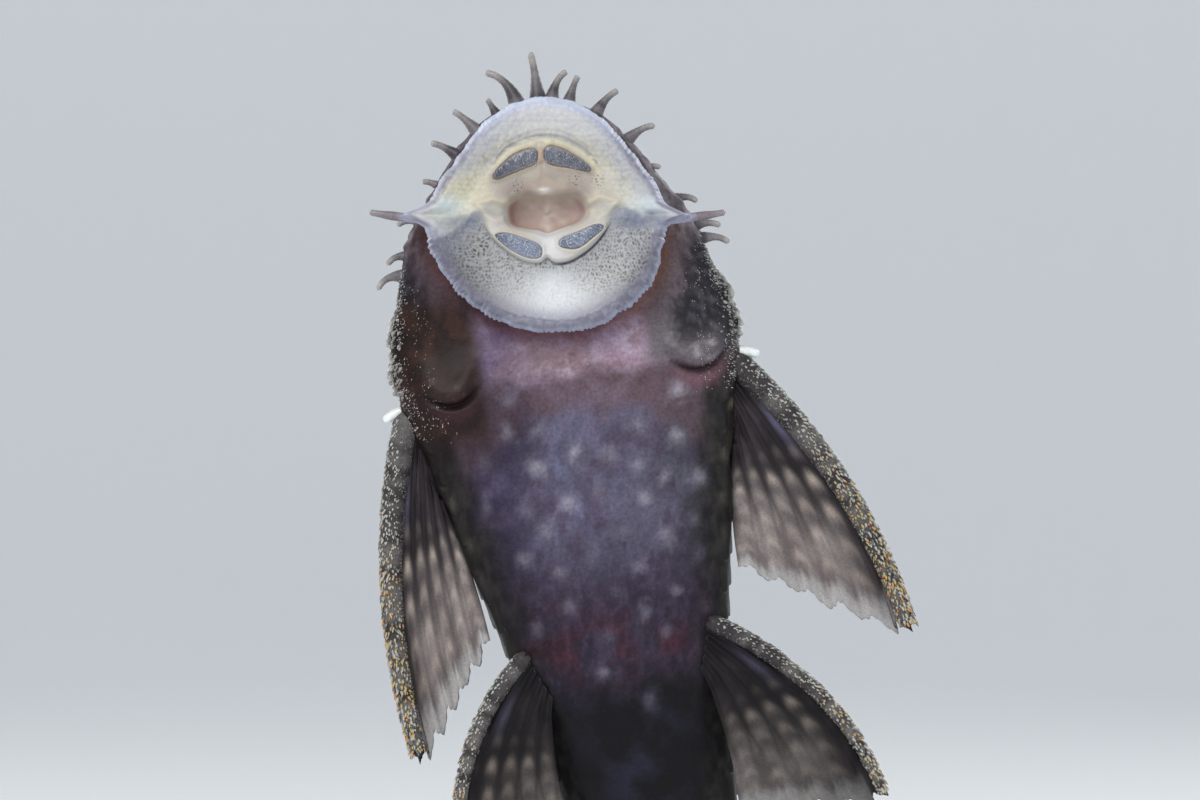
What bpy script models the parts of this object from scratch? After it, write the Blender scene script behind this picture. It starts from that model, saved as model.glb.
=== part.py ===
"""A bristlenose pleco, life size and still, on a plain display stand.

The fish is head up with its belly towards -Y, as it clings to a pane of glass, and its head leans
to -X. Lengths are in millimetres and become metres when a mesh is made. Most of the shape is
given in fish coordinates: station (behind the snout tip), side (+ to the fish's left, which is +X
here) and height (above the belly, towards the back).
"""

import math
import random

import bmesh
import bpy
import numpy as np
from mathutils import Matrix, Vector

MM = 0.001
GAP = 0.3

# The fish, in millimetres
STANDARD_LENGTH = 95.0
SNOUT_LENGTH = 25.0
HEAD_HALF_WIDTH = 14.9
SNOUT_TIP_HEIGHT = 3.2
DEEPEST_STATION = 44.0
BODY_DEPTH = 21.2
SNOUT_ROUNDNESS = 0.62
HEAD_END = 24.6
TRUNK_END = 68.0
SNOUT_PLACE = (-10.5, -23.6, 131.0)

# Pose: degrees from straight down towards +X, and towards +Y, by station
LEAN = [(0, 4.7), (12, 5.5), (22, 9.5), (34, 10.5), (52, 11.0), (66, 14.0), (130, 17.0)]
PITCH = [(0, 0.0), (12, 0.0), (26, 7.0), (60, 8.5), (130, 8.5)]

# Body profile by station
HALF_WIDTH = [
    (25, 14.9), (27.5, 13.9), (31, 12.8), (38, 11.9), (44, 10.9), (50, 9.7),
    (60, 8.3), (70, 6.7), (80, 5.1), (88, 4.1), (95, 3.3),
]
BACK = [(44, 21.2), (50, 20.5), (60, 17.5), (70, 14.4), (80, 12.1), (88, 11.3), (95, 11.8)]
BELLY = [
    (0, 3.2), (1, 2.4), (3, 1.7), (8, 1.5), (20, 1.5), (24, 0.5), (28, 0.0),
    (60, 0.0), (70, 0.5), (80, 1.2), (88, 1.4), (95, 1.0),
]
WIDEST_HEIGHT = [(0, 3.2), (5, 3.7), (12, 4.6), (25, 5.0), (60, 5.0), (75, 5.2), (95, 6.2)]
LOW_POWER = [(0, 1.0), (6, 0.62), (20, 0.5), (50, 0.5), (66, 0.62), (95, 0.75)]
HIGH_POWER = [(0, 1.0), (10, 0.95), (45, 0.9), (70, 0.9), (95, 0.8)]

# Bony plates: rows by angle round the body, from mid-belly 0 to mid-back 180
PLATE_START = 25.8
PLATE_PITCH = 2.8
PLATE_RISE = 0.42
PLATE_POINT = 0.9
PLATE_STEP = 0.35
ROW_EDGES = (52.0, 78.0, 100.0, 122.0, 146.0, 172.0)
BELLY_ANGLES = (0.0, 15.0, 28.0, 40.0)

# Fin rays
WEB_THICKNESS = 0.55
RAY_RIDGE = 0.5
WEB_NOTCH = 0.95

# Places of the paired fins
PECTORAL_ROOT = 26.6
PELVIC_ROOT = 48.6

# Sucker mouth
MOUTH_STATION = 10.3
UPPER_LIP_RADIUS = 9.8
LOWER_LIP_RADIUS = 10.1
LIP_CORNER = 1.4
LIP_BACK_HEIGHT = 1.0
MOUTH_HALF_WIDTH = 3.4
MOUTH_HALF_LENGTH = 1.8
LIP_PROFILE = [
    (0.0, -0.2), (0.08, -0.9), (0.16, -1.3), (0.62, -1.3),
    (0.72, -1.9), (0.85, -2.2), (0.95, -2.0), (1.0, -1.2),
]
BARBEL_LENGTH = 4.6

# Bristles round the snout: degrees round the margin, length, bend to the side
BRISTLES = [
    (0, 3.6, -0.3), (5.5, 2.6, 1.0), (10.5, 2.2, 0.3), (20, 2.6, 0.9), (31, 2.5, 0.8), (39, 1.3, 0.4), (49, 2.1, 0.6),
    (58, 1.5, 0.3), (65, 1.9, 0.2), (-8, 3.3, -0.9), (-14.5, 1.5, -0.2), (-22, 2.5, -0.7), (-31, 2.4, -0.6),
    (-40, 1.6, -0.4), (-49, 2.2, -0.6), (-58, 1.7, -0.3), (-66, 1.9, -0.2),
]
BRISTLE_ROOT_RADIUS = 0.5
BRISTLE_TIP_RADIUS = 0.25

# Eyes and nostrils
EYE_STATION = 17.5
EYE_ANGLE = 141.0
EYE_RADIUS = 2.6
EYE_SINK = 1.35
NOSTRIL_STATION = 12.5
NOSTRIL_ANGLE = 160.0

# Stand
BASE_SIZE = (84.0, 64.0, 7.0)
ROD_RADIUS = 1.5
ROD_STATION = 75.3
ROD_BEND = 8.0
ROD_REACH = 15.0
ROD_CLEARANCE = 0.5


def smooth(table, x):
    """The value at x of a smooth curve through the (x, value) rows of table."""
    xs, ys = np.array(table, float).T
    slopes = np.gradient(ys, xs)
    x = np.asarray(x, float)
    k = np.clip(np.searchsorted(xs, x) - 1, 0, len(xs) - 2)
    h = xs[k + 1] - xs[k]
    t = np.clip((x - xs[k]) / h, 0.0, 1.0)
    held = ys[k] * (1 + 2 * t) * (1 - t) ** 2 + ys[k + 1] * t * t * (3 - 2 * t)
    return held + h * t * (1 - t) * (slopes[k] * (1 - t) - slopes[k + 1] * t)


def axes_at(station):
    """Unit vectors to the tail, to the fish's left and to its back."""
    lean, pitch = (np.radians(smooth(table, station)) for table in (LEAN, PITCH))
    zero = np.zeros_like(lean)
    to_tail = np.stack([np.sin(lean) * np.cos(pitch), np.sin(pitch), -np.cos(lean) * np.cos(pitch)], -1)
    to_side = np.stack([np.cos(lean), zero, np.sin(lean)], -1)
    return to_tail, to_side, np.cross(to_side, to_tail)


LINE_STEP = 0.5
LINE_STATIONS = np.arange(-10.0, 140.0, LINE_STEP)
LINE_POINTS = np.cumsum(axes_at(LINE_STATIONS)[0] * LINE_STEP, axis=0)
LINE_POINTS += np.array(SNOUT_PLACE) - LINE_POINTS[np.argmin(np.abs(LINE_STATIONS))]


def place(station, side, height):
    """The point at these fish coordinates."""
    station = np.asarray(station, float)
    line = np.stack([np.interp(station, LINE_STATIONS, LINE_POINTS[:, k]) for k in range(3)], -1)
    _, to_side, to_back = axes_at(station)
    return line + np.asarray(side)[..., None] * to_side + np.asarray(height)[..., None] * to_back


def half_width(station):
    nose = np.clip(1 - np.asarray(station, float) / SNOUT_LENGTH, 0.0, 1.0)
    return np.where(np.asarray(station) < SNOUT_LENGTH, HEAD_HALF_WIDTH * np.sqrt(1 - nose**2), smooth(HALF_WIDTH, station))


def back_height(station):
    nose = np.clip(1 - np.asarray(station, float) / DEEPEST_STATION, 0.0, 1.0)
    rise = SNOUT_TIP_HEIGHT + (BODY_DEPTH - SNOUT_TIP_HEIGHT) * (1 - nose**2) ** SNOUT_ROUNDNESS
    return np.where(np.asarray(station) < DEEPEST_STATION, rise, smooth(BACK, station))


def belly_height(station):
    return smooth(BELLY, station)


def section(station, angle, out=0.0):
    """(side, height) on the body's skin at an angle round it, moved outwards by out."""
    turn = np.radians(angle)
    sine, cosine = np.sin(turn), np.cos(turn)
    width, level = half_width(station), smooth(WIDEST_HEIGHT, station)
    low = cosine > 0
    reach = np.where(low, level - belly_height(station), back_height(station) - level)
    power = np.where(low, smooth(LOW_POWER, station), smooth(HIGH_POWER, station))
    across, along = np.abs(sine) ** power, np.abs(cosine) ** power
    side, height = np.sign(sine) * width * across, level - np.sign(cosine) * reach * along
    slope = 2 / power - 1
    normal = np.stack([np.sign(sine) * across**slope / (width + 0.01), -np.sign(cosine) * along**slope / (reach + 0.01)])
    normal = normal / (np.linalg.norm(normal, axis=0) + 1e-9)
    return side + out * normal[0], height + out * normal[1]


def flank(station, height):
    """How far to the side the skin is at a height below the widest level."""
    level, low = smooth(WIDEST_HEIGHT, station), belly_height(station)
    power = smooth(LOW_POWER, station)
    cosine = ((level - height) / (level - low)) ** (1 / power)
    return float(half_width(station) * math.sqrt(1 - min(cosine, 1.0) ** 2) ** power)


def mesh_object(name, points, faces):
    """A closed mesh object from points in millimetres, with its faces turned outwards."""
    mesh = bpy.data.meshes.new(name)
    mesh.from_pydata([tuple(np.asarray(p, float) * MM) for p in points], [], faces)
    made = bmesh.new()
    made.from_mesh(mesh)
    bmesh.ops.recalc_face_normals(made, faces=made.faces)
    made.to_mesh(mesh)
    made.free()
    obj = bpy.data.objects.new(name, mesh)
    bpy.context.scene.collection.objects.link(obj)
    return obj


def loft(name, rings, first, last):
    """A closed solid through rings of points, with a fan to one point at each end."""
    count = len(rings[0])
    points = [p for ring in rings for p in ring] + [first, last]
    faces = []
    for i in range(len(rings) - 1):
        for j in range(count):
            a, b = i * count + j, i * count + (j + 1) % count
            faces += [(a, b, b + count), (a, b + count, a + count)]
    end = (len(rings) - 1) * count
    for j in range(count):
        k = (j + 1) % count
        faces += [(len(points) - 2, k, j), (len(points) - 1, end + j, end + k)]
    return mesh_object(name, points, faces)


def sheet(name, upper, lower):
    """A closed sheet between two grids of points, with triangles alike on both faces."""
    rows, columns = len(upper), len(upper[0])
    count = rows * columns
    points = [p for row in upper for p in row] + [p for row in lower for p in row]
    faces = []
    for i in range(rows - 1):
        for j in range(columns - 1):
            a, b = i * columns + j, i * columns + j + 1
            c, d = b + columns, a + columns
            faces += [(a, b, c), (a, c, d), (count + a, count + c, count + b), (count + a, count + d, count + c)]
    rim = list(range(columns)) + [i * columns + columns - 1 for i in range(1, rows)]
    rim += [(rows - 1) * columns + j for j in range(columns - 2, -1, -1)] + [i * columns for i in range(rows - 2, 0, -1)]
    for a, b in zip(rim, rim[1:] + rim[:1]):
        faces += [(a, count + a, count + b), (a, count + b, b)]
    return mesh_object(name, points, faces)


def horn(name, path, radii, sides):
    """A tapered tube along a path, closed by a flat root and a point."""
    path = [Vector(p) for p in path]
    rings = []
    for i, (point, radius) in enumerate(zip(path[:-1], radii)):
        along = (path[i + 1] - path[max(i - 1, 0)]).normalized()
        across = along.orthogonal().normalized()
        around = along.cross(across)
        turns = [2 * math.pi * k / sides for k in range(sides)]
        rings.append([point + (across * math.cos(a) + around * math.sin(a)) * radius for a in turns])
    return loft(name, rings, path[0], path[-1])


def ball(name, centre, radius, segments=14, rings=9):
    made = bmesh.new()
    bmesh.ops.create_uvsphere(made, u_segments=segments, v_segments=rings, radius=radius * MM)
    mesh = bpy.data.meshes.new(name)
    made.to_mesh(mesh)
    made.free()
    obj = bpy.data.objects.new(name, mesh)
    obj.location = Vector(centre) * MM
    bpy.context.scene.collection.objects.link(obj)
    return obj


def largest_surface(mesh):
    """Keeps only the closed surface that holds the most volume."""
    made = bmesh.new()
    made.from_mesh(mesh)
    left, groups = set(made.faces), []
    while left:
        todo, group = [left.pop()], []
        while todo:
            face = todo.pop()
            group.append(face)
            for edge in face.edges:
                for other in edge.link_faces:
                    if other in left:
                        left.remove(other)
                        todo.append(other)
        groups.append(group)

    def volume(group):
        return sum(f.calc_center_median().dot(f.normal) * f.calc_area() for f in group)

    keep = max(groups, key=volume)
    drop = [face for group in groups if group is not keep for face in group]
    bmesh.ops.delete(made, geom=drop, context="FACES")
    made.to_mesh(mesh)
    made.free()


def combine(core, pieces, operation):
    """Joins pieces to core or cuts them from it in one Boolean, applies it and removes the pieces.

    The solver is MANIFOLD, because EXACT leaves doubled edges where thorns cross a thin web.
    """
    if not pieces:
        return core
    group = bpy.data.collections.new(core.name + "_pieces")
    bpy.context.scene.collection.children.link(group)
    for piece in pieces:
        bpy.context.scene.collection.objects.unlink(piece)
        group.objects.link(piece)
    change = core.modifiers.new("change", "BOOLEAN")
    change.operation = operation
    change.operand_type = "COLLECTION"
    change.collection = group
    change.solver = "MANIFOLD"
    bpy.context.view_layer.update()
    graph = bpy.context.evaluated_depsgraph_get()
    mesh = bpy.data.meshes.new_from_object(core.evaluated_get(graph))
    core.modifiers.clear()
    core.data = mesh
    largest_surface(mesh)
    for piece in pieces:
        bpy.data.objects.remove(piece)
    bpy.data.collections.remove(group)
    return core


def plates_at(angle):
    """(out, slip) of a plate's rear edge: how far it rises and how far it points to the tail."""
    if angle < ROW_EDGES[0] or angle > ROW_EDGES[-1]:
        return 0.0, 0.0
    row = max(k for k, edge in enumerate(ROW_EDGES[:-1]) if angle >= edge)
    share = (angle - ROW_EDGES[row]) / (ROW_EDGES[row + 1] - ROW_EDGES[row])
    bulge = math.sin(math.pi * share)
    return PLATE_RISE * (0.35 + 0.65 * bulge), PLATE_POINT * bulge


def ring_angles():
    """(angle, side) round the body: the belly, three in each plate row, the back, and down again."""
    angles = list(BELLY_ANGLES)
    for low, high in zip(ROW_EDGES, ROW_EDGES[1:]):
        angles += [low + (high - low) * k / 3 for k in range(3)]
    angles += [ROW_EDGES[-1], 180.0]
    return [(angle, 1) for angle in angles] + [(angle, -1) for angle in angles[-2:0:-1]]


def ring_at(station):
    """A plain ring of the body."""
    ring = []
    for angle, sign in ring_angles():
        side, height = section(station, angle)
        ring.append(place(station, sign * side, height))
    return ring


def plated_ring(station, raised):
    """A ring along the plates' rear edges, on top of them if raised, else just behind them."""
    ring = []
    for angle, sign in ring_angles():
        out, slip = plates_at(angle)
        side, height = section(station + slip, angle, out if raised else 0.0)
        ring.append(place(station + slip, sign * side, height))
    return ring


def body_length(name, start, end):
    """The trunk or the tail: rings in pairs, so that each plate's rear edge stands over the next."""
    rings = [ring_at(start)]
    first = math.ceil((start + PLATE_STEP - PLATE_START) / PLATE_PITCH + 0.1)
    last = math.floor((end - PLATE_START - PLATE_POINT) / PLATE_PITCH - 0.1)
    for k in range(first, last + 1):
        edge = PLATE_START + k * PLATE_PITCH
        rings.append(plated_ring(edge - PLATE_STEP, True))
        rings.append(plated_ring(edge, False))
    rings.append(ring_at(end))
    first_middle, last_middle = (place(s, 0.0, smooth(WIDEST_HEIGHT, s)) for s in (start, end))
    return loft(name, rings, first_middle, last_middle)


def margin_point(turn_degrees, inside=0.0):
    """(station, side) on the edge of the snout seen from below, at degrees round from the front."""
    turn = math.radians(turn_degrees)
    return SNOUT_LENGTH - (SNOUT_LENGTH - inside) * math.cos(turn), (HEAD_HALF_WIDTH - inside) * math.sin(turn)


def bristle(index, turn_degrees, length, bend):
    """A fleshy bristle on the edge of the snout, curving to one side."""
    station, side = margin_point(turn_degrees, 1.2)
    height = float(smooth(WIDEST_HEIGHT, max(station, 0.0)))
    turn = math.radians(turn_degrees)
    out = np.array([-math.cos(turn) * HEAD_HALF_WIDTH, math.sin(turn) * SNOUT_LENGTH])
    out /= np.linalg.norm(out)
    aside = np.array([0.25, math.copysign(1.0, bend)])
    path = []
    for share in (0.0, 0.35, 0.6, 0.82, 1.0):
        reach = share * (length + 1.2)
        lift = 0.35 * math.sin(2.4 * index) * share
        step = out * reach + aside * abs(bend) * share**2
        path.append(place(station + step[0], side + step[1], height + lift))
    radii = [BRISTLE_ROOT_RADIUS + (BRISTLE_TIP_RADIUS - BRISTLE_ROOT_RADIUS) * k / 3 for k in range(4)]
    return horn(f"bristle_{index}", path, radii, 5)


def eye_place(sign):
    side, height = section(EYE_STATION, EYE_ANGLE, -EYE_SINK)
    return place(EYE_STATION, sign * side, height)


def head_solid():
    """The head: snout, cheeks and throat, with bristles, eye sockets, nostrils and the mouth's hollow."""
    stations = (0.25, 1.0, 2.2, 4.0, 6.2, 8.8, 11.6, 14.5, 17.3, 19.8, 22.2, HEAD_END - GAP / 2)
    rings = [ring_at(s) for s in stations]
    end = place(stations[-1], 0.0, 5.0)
    head = loft("head", rings, place(0.0, 0.0, SNOUT_TIP_HEIGHT), end)
    pieces = [bristle(k, *spec) for k, spec in enumerate(BRISTLES)]
    cutters = []
    for sign in (1, -1):
        cutters.append(ball("socket", eye_place(sign), EYE_RADIUS + GAP))
        side, height = section(NOSTRIL_STATION, NOSTRIL_ANGLE, 0.2)
        nostril = place(NOSTRIL_STATION, sign * side, height)
        cutters.append(ball("nostril", nostril, 0.75, 8, 6))
        rear = place(NOSTRIL_STATION + 1.5, sign * side * 1.1, height + 0.2)
        cutters.append(ball("nostril", rear, 0.7, 8, 6))
        side, height = section(NOSTRIL_STATION + 0.8, NOSTRIL_ANGLE, -0.5)
        foot = place(NOSTRIL_STATION + 0.8, sign * side * 1.04, height)
        top = place(NOSTRIL_STATION + 0.9, sign * side * 1.1, height + 1.7)
        middle = (np.array(foot) + np.array(top)) / 2
        pieces.append(horn("nostril_flap", [foot, middle, top], [0.55, 0.5], 6))
    hollow = ball("hollow", (0, 0, 0), 1.0, 16, 9)
    hollow.data.transform(disc_matrix(MOUTH_HALF_WIDTH - 0.3, MOUTH_HALF_LENGTH - 0.2, 2.8, 0.2, 1.6))
    combine(head, pieces, "UNION")
    return combine(head, cutters + [hollow], "DIFFERENCE")


def disc_point(side, ahead, height):
    """A point of the sucker mouth: it lies flat, so it uses the axes at its own centre."""
    to_tail, to_side, to_back = axes_at(MOUTH_STATION)
    return place(MOUTH_STATION, 0.0, 0.0) + side * to_side - ahead * to_tail + height * to_back


def disc_matrix(x_scale, y_scale, z_scale, ahead, height):
    """The matrix that carries a unit ball to an ellipsoid in the mouth."""
    to_tail, to_side, to_back = axes_at(MOUTH_STATION)
    centre = disc_point(0.0, ahead, height) * MM
    columns = [to_side * x_scale, -to_tail * y_scale, to_back * z_scale]
    return Matrix([[float(columns[c][r]) for c in range(3)] + [float(centre[r])] for r in range(3)] + [[0, 0, 0, 1]])


def lip_edge(turn, radius):
    """The outer edge of the sucker at a turn from the fish's left, drawn out to the barbels."""
    nearest = min(abs(turn), abs(math.pi - abs(turn)))
    return radius + LIP_CORNER * math.exp(-((nearest / 0.26) ** 2))


def lip(name, forward, radius):
    """Half of the sucker: a thick ring with a low rim, a flat face and a slope into the mouth."""
    sign = 1 if forward else -1
    turns = np.linspace(0.0, math.pi, 23) * sign
    apart = sign * GAP / 2
    shares = [row[0] for row in LIP_PROFILE]
    upper, lower = [], []
    for turn in turns:
        cosine, sine = math.cos(turn), math.sin(turn)
        inner = 1 / math.hypot(cosine / MOUTH_HALF_WIDTH, sine / MOUTH_HALF_LENGTH)
        outer = lip_edge(turn, radius)
        front, back = [], []
        for share in shares:
            reach = inner + (outer - inner) * share
            level = float(np.interp(share, shares, [row[1] for row in LIP_PROFILE]))
            front.append(disc_point(reach * cosine, reach * sine + apart, level))
            back.append(disc_point(reach * cosine, reach * sine + apart, LIP_BACK_HEIGHT - 0.9 * (share > 0.97)))
        upper.append(back)
        lower.append(front)
    solid = sheet(name, upper, lower)
    if forward:
        return solid
    barbels = []
    root = radius - 1.0
    for hand in (1, -1):
        path = []
        for t in (0, 0.3, 0.55, 0.8, 1.0):
            path.append(disc_point(hand * (root + BARBEL_LENGTH * 1.25 * t), -0.95 + 0.95 * t * t, -0.6 + 0.3 * t))
        barbels.append(horn("barbel", path, [0.8, 0.75, 0.6, 0.42], 6))
    return combine(solid, barbels, "UNION")


def tooth_row(name, sign, ends, thickness, bow):
    """A curved pad of fine teeth, set in the sucker beside the mouth."""
    (a_side, a_ahead), (b_side, b_ahead) = ends
    upper, lower = [], []
    count = 13
    for i in range(count):
        share = i / (count - 1)
        side = sign * (a_side + (b_side - a_side) * share)
        ahead = a_ahead + (b_ahead - a_ahead) * share + bow * math.sin(math.pi * share)
        half = thickness / 2 * (0.35 + 0.65 * math.sin(math.pi * min(max(share, 0.08), 0.92)))
        ridge = 0.12 * (i % 2)
        upper.append([disc_point(side, ahead + half * k, -1.65) for k in (-1, -0.4, 0.4, 1)])
        heights = (-1.95, -2.3 - ridge, -2.3 - ridge, -1.95)
        lower.append([disc_point(side, ahead + half * k, h) for k, h in zip((-1, -0.4, 0.4, 1), heights)])
    return sheet(name, upper, lower)


def skin_patch(name, sign, station, angle, half_station, half_angle, rise, rim, spines=()):
    """A low pad that lies on the skin, a gap away from it, with any spines joined to it."""
    rings, turns = (0.02, 0.45, 0.8, 1.0), [2 * math.pi * k / 14 for k in range(14)]
    top, under = [], []
    for share in rings:
        row_top, row_under = [], []
        for turn in turns + turns[:1]:
            s = station + half_station * share * math.cos(turn)
            a = angle + half_angle * share * math.sin(turn)
            for row, out in ((row_top, GAP + rim + (rise - rim) * (1 - share**2)), (row_under, GAP)):
                side, height = section(s, a, out)
                row.append(place(s, sign * side, height))
        top.append(row_top)
        under.append(row_under)
    outline = [row[:-1] for row in under] + [row[:-1] for row in top[::-1]]
    pad = loft(name, outline, np.mean(outline[0], axis=0), np.mean(outline[-1], axis=0))
    return combine(pad, list(spines), "UNION")


def cheek_spines(sign):
    """Hooked spines of the cheek, pointing out and back."""
    rng = random.Random(5)
    spines = []
    for k in range(11):
        s = 19.0 + 3.4 * ((k * 0.618) % 1.0)
        a = 84.0 + 24.0 * ((k * 0.381) % 1.0)
        length = 1.5 + 1.3 * rng.random()
        side, height = section(s, a, GAP + 0.25)
        root = (s, sign * side, height)
        out, up = section(s, a, GAP + 0.25 + length * 0.8)
        tip = (s + length * 0.75, sign * out, up)
        middle = tuple((r + t) / 2 + d for r, t, d in zip(root, tip, (-0.15, 0.0, 0.0)))
        path = [place(*root), place(*middle), place(*tip)]
        spines.append(horn("spine", path, [0.3, 0.24], 4))
    return spines


def fin(name, roots, tips, bows, thick, rows, normal_hint, spine=None):
    """A fin: rays as ridges on a thin web, from roots to tips, each in fish coordinates."""
    roots, tips, bows = (np.array(v, float) for v in (roots, tips, bows))
    count = len(roots)
    upper, lower = [], []
    shares = np.linspace(0.0, 1.0, rows)
    columns = []
    for i in range(2 * count - 1):
        k, on_ray = i // 2, i % 2 == 0
        j = k if on_ray else k + 1
        root, tip, bow = ((v[k] + v[j]) / 2 for v in (roots, tips, bows))
        if not on_ray:
            tip = root + (tip - root) * WEB_NOTCH
        path = root + (tip - root) * shares[:, None] + bow * (4 * shares * (1 - shares))[:, None]
        width = WEB_THICKNESS + (RAY_RIDGE * thick[k] * (1 - 0.75 * shares) if on_ray else 0.0 * shares)
        columns.append((place(path[:, 0], path[:, 1], path[:, 2]), width))
    grid = np.array([points for points, _ in columns])
    across = np.gradient(grid, axis=0)
    along = np.gradient(grid, axis=1)
    normals = np.cross(across, along)
    normals /= np.linalg.norm(normals, axis=-1, keepdims=True)
    normals *= np.sign((normals @ np.array(normal_hint)).mean())
    widths = np.array([width for _, width in columns])[..., None]
    upper, lower = grid + normals * widths / 2, grid - normals * widths / 2
    made = sheet(name, upper.tolist(), lower.tolist())
    pieces = spine(grid[0] * 0.8 + grid[1] * 0.2, normals[0]) if spine else []
    return combine(made, pieces, "UNION")


def spine_of(root_radius, tip_radius, thorns, start=0.0):
    """A maker of a fin's bony leading spine, with thorns along it."""

    def make(edge, normals):
        shares = np.linspace(0.0, 1.0, len(edge))
        picks = np.linspace(start, 0.98, 9)
        path = [[np.interp(p, shares, edge[:, k]) for k in range(3)] for p in picks]
        radii = [root_radius + (tip_radius - root_radius) * p for p in picks[:-1]]
        pieces = [horn("spine", path, radii, 7)]
        for k in range(thorns):
            share = 0.12 + 0.84 * (k + 0.5) / thorns
            root = Vector([np.interp(share, shares, edge[:, c]) for c in range(3)])
            ahead = Vector([np.interp(share + 0.05, shares, edge[:, c]) for c in range(3)]) - root
            ahead.normalize()
            normal = Vector([np.interp(share, shares, normals[:, c]) for c in range(3)])
            side = ahead.cross(normal) * make.side
            turn = math.radians(55 * math.sin(2.1 * k))
            out = (side * math.cos(turn) + normal * math.sin(turn)).normalized()
            radius = root_radius + (tip_radius - root_radius) * share
            length = 0.75 + 0.35 * share
            foot = root + out * radius * 0.4
            tip = root + out * (radius + length) + ahead * length * 0.9
            middle = foot.lerp(tip, 0.5) + out * 0.1
            pieces.append(horn("thorn", [foot, middle, tip], [0.28, 0.22], 4))
        return pieces

    make.side = 1.0
    return make


def spread(first, last, count, power=1.0):
    """Values from first to last, for each of count rays."""
    return [np.array(first) + (np.array(last) - np.array(first)) * (k / (count - 1)) ** power for k in range(count)]


def pectoral(name, sign, spine_tip, last_tip):
    """A chest fin: a thick spine and six rays, spread to the side."""
    roots = []
    for k in range(7):
        station, height = PECTORAL_ROOT + 0.95 * k, 3.4 - 0.1 * k
        roots.append(np.array((station, sign * (flank(station, height) + PLATE_RISE + 1.4 * GAP), height)))
    tips = [np.array(spine_tip)] + spread((spine_tip[0] + 0.4, spine_tip[1] * 0.955, spine_tip[2] + 0.3), last_tip, 6, 0.92)
    bows = spread((-0.6, sign * 1.9, 0.3), (0.2, sign * 0.4, 0.6), 7)
    maker = spine_of(1.15, 0.6, 13, 0.055)
    maker.side = -sign
    return fin(name, roots, tips, bows, [2.2] + [1.0] * 6, 10, (0, 1, 0), maker)


def pelvic(name, sign, reach):
    """A belly fin: a spine and five rays, spread to the side below the belly."""
    roots = spread((PELVIC_ROOT, sign * 9.1, -0.55), (PELVIC_ROOT + 4.2, sign * 6.9, -0.85), 6)
    tips = [np.array((68.4, sign * reach, 0.6))]
    tips += spread((69.3, sign * (reach - 1.7), 0.4), (65.6, sign * 7.4, -1.9), 5)
    bows = spread((-1.2, sign * 2.2, 0.2), (0.0, sign * 0.5, -0.5), 6)
    maker = spine_of(0.8, 0.45, 7)
    maker.side = -sign
    return fin(name, roots, tips, bows, [1.6] + [1.0] * 5, 9, (0, 1, 0), maker)


def fan(root_from, root_to, angles, lengths, height_of, power=1.0):
    """Roots and tips of an upright fin: angle from the tail direction, and length, for each ray."""
    count = len(lengths)
    roots, tips = [], []
    for k in range(count):
        share = (k / (count - 1)) ** power
        station = root_from + (root_to - root_from) * share
        root = np.array([station, 0.0, float(height_of(station))])
        angle = math.radians(angles[0] + (angles[1] - angles[0]) * share)
        roots.append(root)
        tips.append(root + lengths[k] * np.array([math.cos(angle), 0.0, math.sin(angle)]))
    return roots, tips


def dorsal_fin():
    """The back fin, raised: a spine and seven rays."""
    lengths = (22.5, 24.0, 23.5, 22.0, 20.0, 17.5, 15.0, 11.5)
    roots, tips = fan(45.5, 65.5, (74, 52), lengths, lambda s: back_height(s) + GAP + 0.1)
    bows = spread((-1.6, 0.0, 1.0), (-0.4, 0.0, 0.6), 8)
    maker = spine_of(0.75, 0.35, 0)
    return fin("dorsal_fin", roots, tips, bows, [1.4] + [1.0] * 7, 9, (1, 0, 0), maker)


def adipose_fin():
    """The small fin near the tail: one short spine with a web behind it."""
    roots, tips = fan(79.6, 85.4, (36, 14), (7.2, 5.6, 3.4), lambda s: back_height(s) + GAP + 0.1)
    maker = spine_of(0.6, 0.35, 0, 0.12)
    return fin("adipose_fin", roots, tips, [(0, 0, 0.3)] * 3, [1.2, 0.4, 0.4], 5, (1, 0, 0), maker)


def anal_fin():
    """The small fin under the tail: a spine and four rays."""
    roots, tips = fan(65.5, 69.3, (-38, -12), (8.5, 9.4, 9.4, 8.6, 7.4), lambda s: belly_height(s) - GAP - 0.1)
    bows = [(0.0, 0.0, -0.5)] * 5
    return fin("anal_fin", roots, tips, bows, [1.3] + [0.9] * 4, 6, (1, 0, 0))


def caudal_fin():
    """The tail fin: sixteen rays, the lower lobe longer, its rear edge a little hollow."""
    count = 16
    roots, tips = [], []
    for k in range(count):
        share = k / (count - 1)
        root = np.array([STANDARD_LENGTH + GAP, 0.0, 1.5 + 9.8 * share])
        angle = math.radians(-15 + 33 * share)
        hollow = 3.6 * math.sin(math.pi * share)
        length = 29.0 - 4.5 * share - hollow
        roots.append(root)
        tips.append(root + length * np.array([math.cos(angle), 0.0, math.sin(angle)]))
    bows = [(0.0, 0.35, 0.0)] * count
    thick = [1.3] + [0.9] * (count - 2) + [1.2]
    return fin("caudal_fin", roots, tips, bows, thick, 8, (1, 0, 0))


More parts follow.
